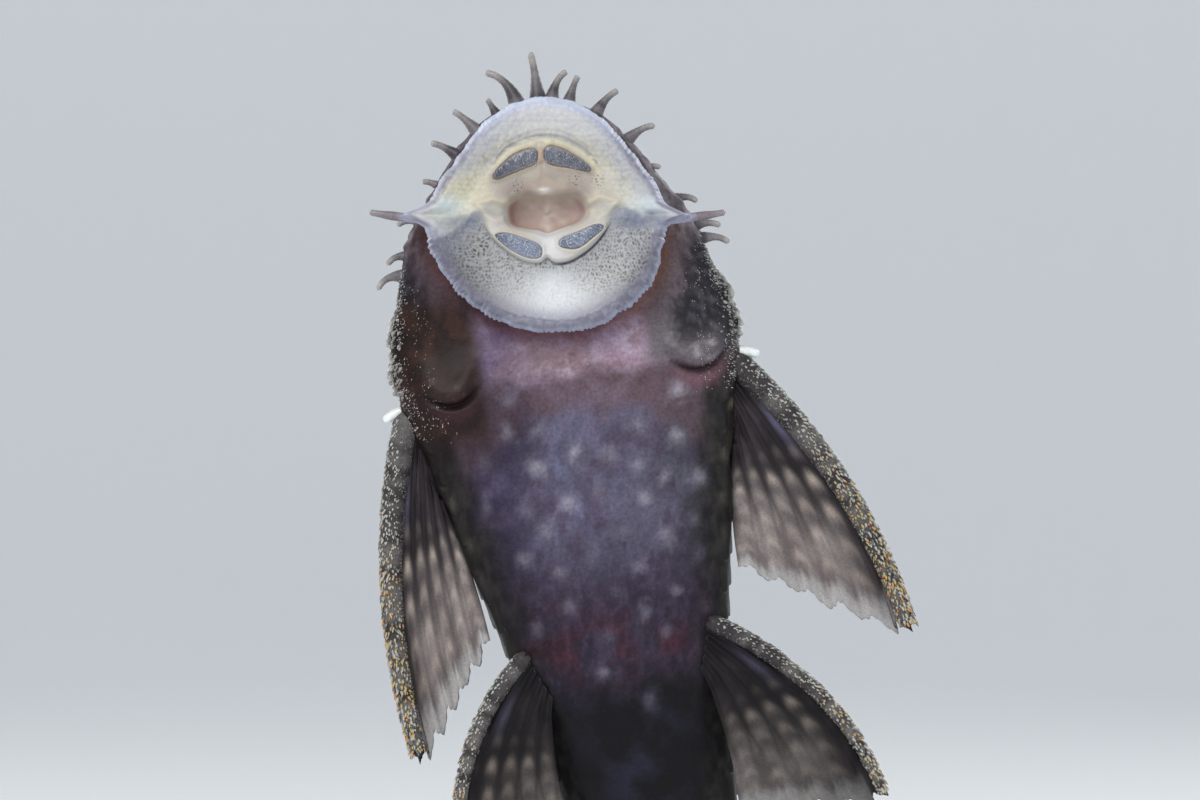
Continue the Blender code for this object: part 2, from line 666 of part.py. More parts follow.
def stand_base():
    size = Vector(BASE_SIZE) * MM
    made = bmesh.new()
    bmesh.ops.create_cube(made, size=1.0)
    bmesh.ops.scale(made, vec=size, verts=made.verts)
    bmesh.ops.translate(made, vec=(0, 0, size.z / 2), verts=made.verts)
    upright = [e for e in made.edges if abs(e.verts[0].co.z - e.verts[1].co.z) > size.z / 2]
    bmesh.ops.bevel(made, geom=upright, offset=9 * MM, segments=6, affect="EDGES", profile=0.5)
    top = [e for e in made.edges if min(v.co.z for v in e.verts) > size.z * 0.99]
    rim = [e for e in top if len({f.normal.z > 0.9 for f in e.link_faces}) == 2]
    bmesh.ops.bevel(made, geom=rim, offset=1.2 * MM, segments=2, affect="EDGES", profile=0.5)
    mesh = bpy.data.meshes.new("stand_base")
    made.to_mesh(mesh)
    made.free()
    obj = bpy.data.objects.new("stand_base", mesh)
    bpy.context.scene.collection.objects.link(obj)
    return obj


def stand_rod():
    """A bent rod from the base, up behind the tail and forward to the back."""
    end = place(ROD_STATION, 0.0, float(back_height(ROD_STATION)))
    end = end + np.array([0.0, ROD_CLEARANCE, 0.0])
    post_y = end[1] + ROD_REACH
    points = [(end[0], post_y, BASE_SIZE[2] + GAP), (end[0], post_y, end[2] - ROD_BEND)]
    for k in range(1, 7):
        turn = math.radians(15 * k)
        points.append((end[0], post_y - ROD_BEND * (1 - math.cos(turn)), end[2] - ROD_BEND * (1 - math.sin(turn))))
    points.append(tuple(end))
    curve = bpy.data.curves.new("stand_rod", "CURVE")
    curve.dimensions = "3D"
    spline = curve.splines.new("POLY")
    spline.points.add(len(points) - 1)
    for point, place_mm in zip(spline.points, points):
        point.co = (*(float(v) * MM for v in place_mm), 1.0)
    curve.bevel_depth = ROD_RADIUS * MM
    curve.bevel_resolution = 4
    curve.use_fill_caps = True
    obj = bpy.data.objects.new("stand_rod", curve)
    bpy.context.scene.collection.objects.link(obj)
    return obj


def material(name, colour, roughness, metallic=0.0):
    made = bpy.data.materials.new(name)
    made.use_nodes = True
    shader = made.node_tree.nodes["Principled BSDF"]
    shader.inputs["Base Color"].default_value = (*colour, 1.0)
    shader.inputs["Roughness"].default_value = roughness
    shader.inputs["Metallic"].default_value = metallic
    return made


def finish(obj, surface):
    obj.data.materials.clear()
    obj.data.materials.append(surface)
    if obj.type == "MESH":
        obj.data.shade_smooth()
        obj.data.set_sharp_from_angle(angle=math.radians(40))


def main():
    for obj in list(bpy.data.objects):
        bpy.data.objects.remove(obj)
    hide = material("skin", (0.055, 0.045, 0.045), 0.55)
    web = material("fin", (0.09, 0.075, 0.07), 0.5)
    pale = material("lip", (0.62, 0.58, 0.52), 0.45)
    tooth = material("tooth", (0.16, 0.17, 0.22), 0.4)
    spine = material("spine", (0.42, 0.32, 0.2), 0.5)
    eye = material("eye", (0.03, 0.025, 0.02), 0.1)
    wood = material("stand_wood", (0.07, 0.04, 0.025), 0.45)
    steel = material("stand_steel", (0.45, 0.45, 0.46), 0.35, 1.0)
    finish(head_solid(), hide)
    finish(body_length("trunk", HEAD_END + GAP / 2, TRUNK_END - GAP / 2), hide)
    finish(body_length("tail", TRUNK_END + GAP / 2, STANDARD_LENGTH), hide)
    finish(lip("upper_lip", True, UPPER_LIP_RADIUS), pale)
    finish(lip("lower_lip", False, LOWER_LIP_RADIUS), pale)
    for side_name, sign in (("left", 1), ("right", -1)):
        finish(tooth_row(f"upper_teeth_{side_name}", sign, ((0.6, 5.1), (4.5, 3.6)), 2.0, 0.6), tooth)
        finish(tooth_row(f"lower_teeth_{side_name}", sign, ((0.8, -2.95), (4.9, -1.35)), 1.7, -0.4), tooth)
        finish(ball(f"eye_{side_name}", eye_place(sign), EYE_RADIUS), eye)
        cheek = skin_patch(f"cheek_{side_name}", sign, 20.6, 96.0, 2.6, 17.0, 0.9, 0.5, cheek_spines(sign))
        finish(cheek, spine)
        finish(skin_patch(f"gill_flap_{side_name}", sign, 21.8, 33.0, 1.9, 9.0, 0.9, 0.5), hide)
        finish(pelvic(f"pelvic_fin_{side_name}", sign, 19.5 + sign), web)
    finish(pectoral("pectoral_fin_left", 1, (53.6, 25.9, 3.0), (42.2, 12.9, 1.6)), web)
    finish(pectoral("pectoral_fin_right", -1, (56.6, -19.6, 3.4), (47.0, -12.0, 1.4)), web)
    for made in (dorsal_fin(), adipose_fin(), anal_fin(), caudal_fin()):
        finish(made, web)
    finish(stand_base(), wood)
    finish(stand_rod(), steel)


main()
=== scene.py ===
"""Looks of the bristlenose pleco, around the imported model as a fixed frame.

Lengths are in millimetres and become metres when a mesh is made. Places on the fish are given by
station (behind the snout tip), side (+ to the fish's left) and height (above the belly), and by
the angle round the body from mid-belly 0 to mid-back 180. Places on the sucker are given by
side, ahead and height from its centre, and heights below zero face the camera.
"""

import math

import bpy
import numpy as np
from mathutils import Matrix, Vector


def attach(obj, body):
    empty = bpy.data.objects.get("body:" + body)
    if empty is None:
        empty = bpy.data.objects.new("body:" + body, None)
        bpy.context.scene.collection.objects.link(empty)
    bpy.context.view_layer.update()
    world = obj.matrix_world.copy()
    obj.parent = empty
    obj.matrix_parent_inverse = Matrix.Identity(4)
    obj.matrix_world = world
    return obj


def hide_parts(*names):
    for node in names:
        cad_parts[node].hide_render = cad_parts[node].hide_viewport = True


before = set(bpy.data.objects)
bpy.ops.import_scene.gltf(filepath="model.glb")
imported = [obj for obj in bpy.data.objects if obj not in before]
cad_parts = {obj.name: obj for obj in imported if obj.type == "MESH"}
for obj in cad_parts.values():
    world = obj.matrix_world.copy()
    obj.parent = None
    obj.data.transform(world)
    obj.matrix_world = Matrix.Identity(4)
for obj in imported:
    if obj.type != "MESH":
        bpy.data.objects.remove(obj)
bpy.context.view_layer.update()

MM = 0.001

# The fish, as in the frame
SNOUT_LENGTH = 25.0
HEAD_HALF_WIDTH = 14.9
SNOUT_TIP_HEIGHT = 3.2
SNOUT_FLAT = 0.6
DEEPEST_STATION = 44.0
BODY_DEPTH = 21.2
SNOUT_ROUNDNESS = 0.62
STANDARD_LENGTH = 95.0
SNOUT_PLACE = (-10.5, -23.6, 131.0)
LEAN = [(0, 4.7), (12, 5.5), (22, 9.5), (34, 10.5), (52, 11.0), (66, 14.0), (130, 17.0)]
PITCH = [(0, 0.0), (12, 0.0), (26, 7.0), (60, 8.5), (130, 8.5)]
HALF_WIDTH = [
    (25, 14.9), (27.5, 13.9), (31, 12.8), (38, 11.9), (44, 10.9), (50, 9.7),
    (60, 8.3), (70, 6.7), (80, 5.1), (88, 4.1), (95, 3.3),
]
BACK = [(44, 21.2), (50, 20.5), (60, 17.5), (70, 14.4), (80, 12.1), (88, 11.3), (95, 11.8)]
BELLY = [
    (0, 3.2), (1, 2.4), (3, 1.7), (8, 1.5), (20, 1.5), (24, 0.5), (28, 0.0),
    (60, 0.0), (70, 0.5), (80, 1.2), (88, 1.4), (95, 1.0),
]
WIDEST_HEIGHT = [(0, 3.2), (5, 3.7), (12, 4.6), (25, 5.0), (60, 5.0), (75, 5.2), (95, 6.2)]
LOW_POWER = [(0, 1.0), (6, 0.62), (20, 0.5), (50, 0.5), (66, 0.62), (95, 0.75)]
HIGH_POWER = [(0, 1.0), (10, 0.95), (45, 0.9), (70, 0.9), (95, 0.8)]

# Bony plates
PLATE_START = 25.8
PLATE_PITCH = 2.8
PLATE_RISE = 0.42
PLATE_POINT = 0.9
PLATE_PHASES = (0.0, 0.05, 0.15, 0.3, 0.45, 0.6, 0.73, 0.84, 0.91, 0.96)
ROW_EDGES = np.array([52.0, 78.0, 100.0, 122.0, 146.0, 172.0])

# Sucker mouth
MOUTH_STATION = 10.3
RIM_RADIUS = [
    (-180, 10.2), (-168, 10.4), (-145, 10.2), (-119, 10.05), (-90, 10.1), (-70, 10.4), (-52, 10.5), (-26, 10.6),
    (-15, 10.2), (0, 9.9), (12, 9.75), (23, 9.3), (29, 9.1), (38, 9.0), (49, 9.1), (61, 9.45), (75, 9.85),
    (90, 10.05), (105, 9.95), (123, 9.55), (140, 9.1), (152, 9.15), (165, 9.7), (180, 10.2),
]
MOUTH_RADIUS = [
    (-180, 3.5), (-163, 3.28), (-150, 2.5), (-130, 1.8), (-88, 1.65), (-50, 1.7), (-30, 2.1), (-13, 2.9),
    (2, 3.4), (31, 3.0), (60, 1.9), (92, 1.7), (120, 1.87), (149, 2.9), (170, 3.53), (180, 3.5),
]
LIP_PROFILE = [
    (0.0, -0.5), (0.06, -1.0), (0.14, -1.3), (0.62, -1.35),
    (0.74, -1.8), (0.86, -2.15), (0.95, -2.0), (1.0, -1.35),
]
JAW_EDGE = [
    (-5.5, -0.9), (-4.88, -1.88), (-3.61, -3.1), (-1.37, -4.21), (-0.5, -4.15),
    (0.0, -3.8), (0.5, -4.15), (1.11, -4.23), (2.82, -3.6), (4.95, -1.55), (5.5, -0.7),
]
FOLD_ARCH = [(-5.0, 3.6), (-4.26, 4.83), (-2.05, 6.28), (0.19, 6.7), (2.34, 6.05), (4.02, 4.75), (4.8, 3.7)]
CORNER_FOLDS = [
    [(3.4, 0.9), (4.6, 1.5), (6.1, 1.1)], [(3.5, 0.1), (4.4, -0.25), (5.3, 0.2), (6.1, 1.1)],
    [(-3.5, 0.9), (-4.7, 1.25), (-6.1, 0.9)], [(-3.4, -0.4), (-4.3, -0.6), (-5.2, -0.2), (-6.1, 0.9)],
]
SIDE_SEAM = [
    (-12, -2.8), (-8.4, -1.9), (-7.5, -1.3), (-6.4, -0.2), (-5, 0.3), (-3.6, 0.8),
    (3.6, 0.9), (5, 0.7), (7, 0.4), (8.4, -0.1), (9.8, -0.3), (12, -0.4),
]
# Tooth cups, as rows of side, upper edge and lower edge
UPPER_CUPS = {
    1: [(-0.3, 5.95, 4.3), (0.6, 5.85, 4.1), (2.5, 5.0, 3.8), (3.8, 4.1, 3.5)],
    -1: [(-4.7, 3.55, 2.75), (-2.85, 5.15, 3.5), (-1.7, 5.6, 3.95), (-0.8, 5.8, 4.2)],
}
LOWER_CUPS = {
    1: [(1.0, -2.15, -3.0), (2.7, -1.55, -3.05), (4.2, -0.95, -1.95), (4.9, -0.9, -1.4)],
    -1: [(-4.5, -1.7, -2.1), (-3.7, -1.65, -2.8), (-1.6, -2.25, -3.9), (-0.4, -2.7, -4.0)],
}
PAPILLA_PITCH = 0.3
BARBEL_ROOT = 9.0
BARBEL_LENGTH = 6.5

# Bristles round the snout: station and side of the root, then of the tip
BRISTLES = [
    (0.3, 0.0, -3.4, -0.3), (0.3, 1.2, -1.7, 2.6), (0.7, 2.7, -1.2, 3.6), (1.9, 5.0, 0.3, 6.9), (4.5, 7.5, 3.6, 9.8),
    (7.0, 9.2, 7.2, 10.1), (10.0, 11.1, 10.4, 13.0), (12.6, 12.7, 12.9, 14.8), (13.9, 13.2, 14.6, 15.4),
    (0.3, -1.9, -2.1, -4.2), (1.2, -3.8, 0.1, -4.4), (2.5, -5.7, 0.9, -7.4), (4.6, -7.5, 3.5, -9.5),
    (7.1, -9.3, 6.7, -10.6), (10.0, -11.1, 10.2, -13.1), (12.8, -12.7, 13.4, -14.3), (14.4, -13.4, 15.3, -15.4),
]

# Eyes, nostrils, gills and cheeks
EYE_STATION = 17.5
EYE_ANGLE = 141.0
EYE_RADIUS = 2.6
EYE_SINK = 1.35
NOSTRIL_STATION = 12.5
NOSTRIL_ANGLE = 160.0
GILL_SLITS = {1: (25.8, 11.4), -1: (25.2, 10.4)}
CHEEK_STATION = 20.6
CHEEK_ANGLE = 96.0
# Station, angle, length and radius
WHITE_SPINE = (25.3, 84.0, 2.1, 0.48)

# Fins
GAP = 0.3
RAY_RIDGE = 0.5
PECTORAL_ROOT = 26.6
PELVIC_ROOT = 48.6

# Pale spots on the belly: station, side
BELLY_SPOTS = [
    (25.6, -5.5), (28.3, -6.2), (28.7, -3.7), (30.5, -8.7), (31.8, -4.3), (31.1, -0.8), (31.9, 2.3), (29.8, 5.1),
    (27.4, 9.1), (31.3, 8.3), (29.6, 11.7), (34.7, 6.6), (35.4, 9.7), (33.2, 4.5), (34.9, 0.8), (36.4, 4.6),
    (35.3, -2.0), (34.6, -9.3), (35.3, -6.0), (39.0, 8.6), (39.8, 5.7), (38.7, 2.3), (37.5, -4.5), (39.7, -6.8),
    (41.3, -4.0), (40.6, -1.0), (42.1, 3.1), (44.8, 5.8), (42.4, 8.2), (44.1, 0.6), (44.5, -3.7), (46.3, 2.7),
    (46.8, 8.0), (47.7, -0.8), (45.9, -6.8), (49.0, -7.7), (51.4, 8.2), (48.3, 4.3), (50.9, -1.8), (54.2, 1.7),
]

# Camera: the sucker's centre lies at a known place in a 1200 by 800 frame
FRAME_WIDTH = 103.45
CAMERA_ASIDE = 4.57
CAMERA_BELOW = 16.12
CAMERA_DISTANCE = 300.0
GLASS_Y = -26.0


# Shape of the fish


def smooth(table, x):
    """The value at x of a smooth curve through the (x, value) rows of table."""
    xs, ys = np.array(table, float).T
    slopes = np.gradient(ys, xs)
    x = np.asarray(x, float)
    k = np.clip(np.searchsorted(xs, x) - 1, 0, len(xs) - 2)
    h = xs[k + 1] - xs[k]
    t = np.clip((x - xs[k]) / h, 0.0, 1.0)
    held = ys[k] * (1 + 2 * t) * (1 - t) ** 2 + ys[k + 1] * t * t * (3 - 2 * t)
    return held + h * t * (1 - t) * (slopes[k] * (1 - t) - slopes[k + 1] * t)


def axes_at(station):
    """Unit vectors to the tail, to the fish's left and to its back."""
    lean, pitch = (np.radians(smooth(table, station)) for table in (LEAN, PITCH))
    zero = np.zeros_like(lean)
    to_tail = np.stack([np.sin(lean) * np.cos(pitch), np.sin(pitch), -np.cos(lean) * np.cos(pitch)], -1)
    to_side = np.stack([np.cos(lean), zero, np.sin(lean)], -1)
    return to_tail, to_side, np.cross(to_side, to_tail)


LINE_STEP = 0.5
LINE_STATIONS = np.arange(-10.0, 140.0, LINE_STEP)
LINE_POINTS = np.cumsum(axes_at(LINE_STATIONS)[0] * LINE_STEP, axis=0)
LINE_POINTS += np.array(SNOUT_PLACE) - LINE_POINTS[np.argmin(np.abs(LINE_STATIONS))]


def place(station, side, height):
    """The point at these fish coordinates."""
    station, side, height = np.broadcast_arrays(*(np.asarray(v, float) for v in (station, side, height)))
    line = np.stack([np.interp(station, LINE_STATIONS, LINE_POINTS[:, k]) for k in range(3)], -1)
    _, to_side, to_back = axes_at(station)
    return line + side[..., None] * to_side + height[..., None] * to_back


def half_width(station):
    station = np.asarray(station, float)
    nose = np.clip(1 - station / SNOUT_LENGTH, 0.0, 1.0)
    flat = SNOUT_FLAT * np.exp(-(((station - 6.0) / 3.6) ** 4))
    rounded = np.maximum(HEAD_HALF_WIDTH * np.sqrt(1 - nose**2) - flat, 0.02)
    return np.where(station < SNOUT_LENGTH, rounded, smooth(HALF_WIDTH, station))


def back_height(station):
    nose = np.clip(1 - np.asarray(station, float) / DEEPEST_STATION, 0.0, 1.0)
    rise = SNOUT_TIP_HEIGHT + (BODY_DEPTH - SNOUT_TIP_HEIGHT) * (1 - nose**2) ** SNOUT_ROUNDNESS
    return np.where(np.asarray(station) < DEEPEST_STATION, rise, smooth(BACK, station))


def section(station, angle, out=0.0):
    """(side, height) on the body's skin at an angle round it, moved outwards by out."""
    turn = np.radians(angle)
    sine, cosine = np.sin(turn), np.cos(turn)
    width, level = half_width(station), smooth(WIDEST_HEIGHT, station)
    low = cosine > 0
    reach = np.where(low, level - smooth(BELLY, station), back_height(station) - level)
    power = np.where(low, smooth(LOW_POWER, station), smooth(HIGH_POWER, station))
    across, along = np.abs(sine) ** power, np.abs(cosine) ** power
    side, height = width * across, level - np.sign(cosine) * reach * along
    slope = 2 / power - 1
    normal_side = across**slope / (width + 0.01)
    normal_height = -np.sign(cosine) * along**slope / (reach + 0.01)
    length = np.hypot(normal_side, normal_height) + 1e-9
    return side + out * normal_side / length, height + out * normal_height / length


def flank(station, height):
    """How far to the side the skin is at a height below the widest level."""
    level, low = smooth(WIDEST_HEIGHT, station), smooth(BELLY, station)
    cosine = ((level - height) / (level - low)) ** (1 / smooth(LOW_POWER, station))
    return float(half_width(station) * math.sqrt(1 - min(cosine, 1.0) ** 2) ** smooth(LOW_POWER, station))


def on_skin(station, angle, sign, out=0.0):
    side, height = section(station, angle, out)
    return place(station, sign * side, height)


DISC_CENTRE = place(MOUTH_STATION, 0.0, 0.0)


def disc_point(side, ahead, height):
    """A point of the sucker mouth, which lies flat and upright while the head leans a little."""
    side, ahead, height = np.broadcast_arrays(*(np.asarray(v, float) for v in (side, ahead, height)))
    return DISC_CENTRE + np.stack([side, height, ahead], -1)


def disc_place(points):
    """(side, ahead) of points, seen from in front of the sucker."""
    return points[..., 0] - DISC_CENTRE[0], points[..., 2] - DISC_CENTRE[2]


# Noise and colour


def step(x, low, high):
    """0 below low and 1 above high, with a smooth rise between."""
    t = np.clip((x - low) / (high - low), 0.0, 1.0)
    return t * t * (3 - 2 * t)


def bell(x, middle, width):
    return np.exp(-(((x - middle) / width) ** 2))


def hashed(column, row, seed):
    """A repeatable value from 0 to 1 for each cell of a lattice."""
    n = (column * 374761393 + row * 668265263 + seed * 982451653) & 0x7FFFFFFF
    n = ((n ^ (n >> 13)) * 1274126177) & 0x7FFFFFFF
    return ((n ^ (n >> 16)) & 0xFFFF) / 65535.0


def cloud(x, y, size, seed):
    """Smooth noise from -1 to 1 with blotches of about this size."""
    x, y = np.asarray(x, float) / size, np.asarray(y, float) / size
    column, row = np.floor(x).astype(np.int64), np.floor(y).astype(np.int64)
    a, b = x - column, y - row
    a, b = a * a * (3 - 2 * a), b * b * (3 - 2 * b)
    lower = hashed(column, row, seed) * (1 - a) + hashed(column + 1, row, seed) * a
    upper = hashed(column, row + 1, seed) * (1 - a) + hashed(column + 1, row + 1, seed) * a
    return 2 * (lower * (1 - b) + upper * b) - 1


def layered(x, y, size, seed):
    """Noise with finer blotches on coarser ones."""
    return (cloud(x, y, size, seed) + 0.5 * cloud(x, y, size / 2.1, seed + 1) + 0.25 * cloud(x, y, size / 4.3, seed + 2)) / 1.4


def cells(x, y, pitch, seed):
    """Distances in pitches to the nearest and next point of a jittered lattice, and the nearest one's own value."""
    x, y = np.asarray(x, float) / pitch, np.asarray(y, float) / pitch
    column, row = np.floor(x).astype(np.int64), np.floor(y).astype(np.int64)
    nearest, following, value = np.full(x.shape, 9.0), np.full(x.shape, 9.0), np.zeros(x.shape)
    for i in (-1, 0, 1):
        for j in (-1, 0, 1):
            a, b = column + i, row + j
            across = a + 0.5 * (b % 2) + 0.3 + 0.5 * hashed(a, b, seed)
            along = b + 0.25 + 0.5 * hashed(a, b, seed + 1)
            away = np.hypot(x - across, y - along)
            closer = away < nearest
            following = np.where(closer, nearest, np.minimum(following, away))
            value = np.where(closer, hashed(a, b, seed + 2), value)
            nearest = np.where(closer, away, nearest)
    return nearest, following, value


def grains(points, pitch, seed):
    """As cells, for points in space."""
    scaled = points / pitch
    corner = np.floor(scaled).astype(np.int64)
    nearest, following, value = (np.full(points.shape[:-1], first) for first in (9.0, 9.0, 0.0))
    for offset in np.ndindex(3, 3, 3):
        cell = corner + np.array(offset) - 1
        key, row = cell[..., 0] + 57 * cell[..., 2], cell[..., 1]
        centre = cell + 0.2 + 0.6 * np.stack([hashed(key, row, seed + k) for k in range(3)], -1)
        away = np.linalg.norm(scaled - centre, axis=-1)
        closer = away < nearest
        following = np.where(closer, nearest, np.minimum(following, away))
        value = np.where(closer, hashed(key, row, seed + 3), value)
        nearest = np.where(closer, away, nearest)
    return nearest, following, value


def srgb(red, green, blue):
    """A linear colour from the usual 0 to 255 values."""
    c = np.array([red, green, blue]) / 255
    return np.where(c < 0.04045, c / 12.92, ((c + 0.055) / 1.055) ** 2.4)


def mix(first, second, share):
    return first + (second - first) * np.asarray(share)[..., None]


def line_place(line, x, y):
    """Distance to a line of points, and the share of its length where it is nearest."""
    line = np.array(line, float)
    lengths = np.linalg.norm(np.diff(line, axis=0), axis=1)
    starts = np.concatenate([[0.0], np.cumsum(lengths)])
    nearest, share = np.full(np.shape(x), 99.0), np.zeros(np.shape(x))
    for k, length in enumerate(lengths):
        along = (line[k + 1] - line[k]) / length
        t = np.clip((x - line[k, 0]) * along[0] + (y - line[k, 1]) * along[1], 0.0, length)
        away = np.hypot(x - line[k, 0] - along[0] * t, y - line[k, 1] - along[1] * t)
        share = np.where(away < nearest, (starts[k] + t) / starts[-1], share)
        nearest = np.minimum(nearest, away)
    return nearest, share


# Meshes


def grid_faces(rows, columns, wrap):
    """Quads of a grid of points, and each corner's place in the grid as shares."""
    i, j = (v.ravel() for v in np.meshgrid(np.arange(rows - 1), np.arange(columns - (not wrap)), indexing="ij"))
    corners = np.stack([np.stack(pair, -1) for pair in ((i, j), (i, j + 1), (i + 1, j + 1), (i + 1, j))], 1)
    quads = corners[..., 0] * columns + corners[..., 1] % columns
    return quads, corners[..., ::-1] / np.array([columns - (not wrap), rows - 1])


def volume(points, faces):
    a = points[faces[:, 0]]
    return sum(np.sum(a * np.cross(points[faces[:, k]], points[faces[:, k + 1]])) for k in range(1, faces.shape[1] - 1))


def piece(name, points, tint, face_sets, unwraps, surface, nodes=()):
    """A mesh on the fish: points in millimetres, a colour for each, and faces with their place in the unwrap."""
    points = np.asarray(points, float).reshape(-1, 3)
    if sum(volume(points, faces) for faces in face_sets) < 0:
        face_sets = [faces[:, ::-1] for faces in face_sets]
        unwraps = [unwrap[:, ::-1] for unwrap in unwraps]
    mesh = bpy.data.meshes.new(name)
    mesh.vertices.add(len(points))
    mesh.vertices.foreach_set("co", (points * MM).astype(np.float32).ravel())
    corners = np.concatenate([faces.ravel() for faces in face_sets]).astype(np.int32)
    sizes = np.concatenate([np.full(len(faces), faces.shape[1]) for faces in face_sets])
    mesh.loops.add(len(corners))
    mesh.loops.foreach_set("vertex_index", corners)
    mesh.polygons.add(len(sizes))
    mesh.polygons.foreach_set("loop_start", np.concatenate([[0], np.cumsum(sizes)[:-1]]).astype(np.int32))
    mesh.update(calc_edges=True)
    mesh.validate()
    colours = np.ones((len(points), 4), np.float32)
    colours[:, :3] = np.clip(np.asarray(tint).reshape(-1, 3), 0.0, 1.0)
    mesh.attributes.new("tint", "FLOAT_COLOR", "POINT").data.foreach_set("color", colours.ravel())
    places = np.concatenate([unwrap.reshape(-1, 2) for unwrap in unwraps]).astype(np.float32)
    mesh.uv_layers.new(name="OFBake").data.foreach_set("uv", places.ravel())
    mesh.materials.append(surface)
    mesh.shade_smooth()
    obj = bpy.data.objects.new(name, mesh)
    bpy.context.scene.collection.objects.link(obj)
    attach(obj, "root")
    if nodes:
        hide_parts(*nodes)
    return obj


def closed_grid(rings, first, last):
    """Points and faces of a grid of rings, closed at each end by a fan to one point."""
    rows, columns = rings.shape[:2]
    quads, unwrap = grid_faces(rows, columns, True)
    points = np.concatenate([rings.reshape(-1, 3), [first, last]])
    j = np.arange(columns)
    after = (j + 1) % columns
    end = (rows - 1) * columns
    fans = np.concatenate([
        np.stack([np.full(columns, len(points) - 2), after, j], 1),
        np.stack([np.full(columns, len(points) - 1), end + j, end + after], 1),
    ])
    shares = np.stack([j, j + 1, j], 1) / columns
    fan_places = [np.stack([shares, np.broadcast_to([0.0, 0.004, 0.004], shares.shape)], -1)]
    fan_places.append(np.stack([shares, np.broadcast_to([1.0, 0.996, 0.996], shares.shape)], -1))
    return points, [quads, fans], [unwrap, np.concatenate(fan_places)]


def horns(paths, radii, sides, flat=1.0):
    """Points (horn, ring, side) of tapered tubes round paths (horn, step), with root and tip points."""
    along = np.gradient(paths, axis=1)
    along /= np.linalg.norm(along, axis=-1, keepdims=True)
    lead = paths[:, -1] - paths[:, 0]
    guide = np.where(np.abs(lead[:, :1]) < 0.8 * np.linalg.norm(lead, axis=1, keepdims=True), [[1.0, 0, 0]], [[0, 1.0, 0]])
    across = np.cross(along, guide[:, None, :])
    across /= np.linalg.norm(across, axis=-1, keepdims=True)
    around = np.cross(along, across) * flat
    turns = np.linspace(0, 2 * math.pi, sides, endpoint=False)
    circle = across[:, :, None] * np.cos(turns)[:, None] + around[:, :, None] * np.sin(turns)[:, None]
    return paths[:, :, None] + circle * radii[:, :, None, None]


def horn_faces(count, rings, sides):
    """Triangles of closed horns whose points are rings, then a root and a tip."""
    each = rings * sides + 2
    i, j = (v.ravel() for v in np.meshgrid(np.arange(rings - 1), np.arange(sides), indexing="ij"))
    a, b = i * sides + j, i * sides + (j + 1) % sides
    j = np.arange(sides)
    after, end = (j + 1) % sides, (rings - 1) * sides
    one = np.concatenate([
        np.stack([a, b, b + sides], 1), np.stack([a, b + sides, a + sides], 1),
        np.stack([np.full(sides, each - 2), after, j], 1), np.stack([np.full(sides, each - 1), end + j, end + after], 1),
    ])
    return (one[None] + each * np.arange(count)[:, None, None]).reshape(-1, 3)


def horn_piece(name, paths, radii, sides, tint, roots_in_unwrap, surface, nodes=()):
    """Many horns in one piece. tint is (horn, ring, 3), and each horn unwraps to a small patch at its root's place."""
    count, rings = radii.shape
    body = horns(paths[:, :-1], radii, sides).reshape(count, -1, 3)
    points = np.concatenate([body, paths[:, :1], paths[:, -1:]], axis=1)
    colours = np.repeat(tint, sides, axis=1)
    colours = np.concatenate([colours, tint[:, :1], tint[:, -1:]], axis=1)
    faces = horn_faces(count, rings, sides)
    turns = np.tile(np.linspace(0, 2 * math.pi, sides, endpoint=False), rings)
    size = 0.0015 * np.repeat(np.linspace(1.0, 0.3, rings), sides)
    patch = np.concatenate([np.stack([np.cos(turns), np.sin(turns)], -1) * size[:, None], np.zeros((2, 2))])
    unwrap = (roots_in_unwrap[:, None] + patch[None]).reshape(-1, 2)[faces]
    return piece(name, points, colours, [faces], [unwrap], surface, nodes)


# Materials


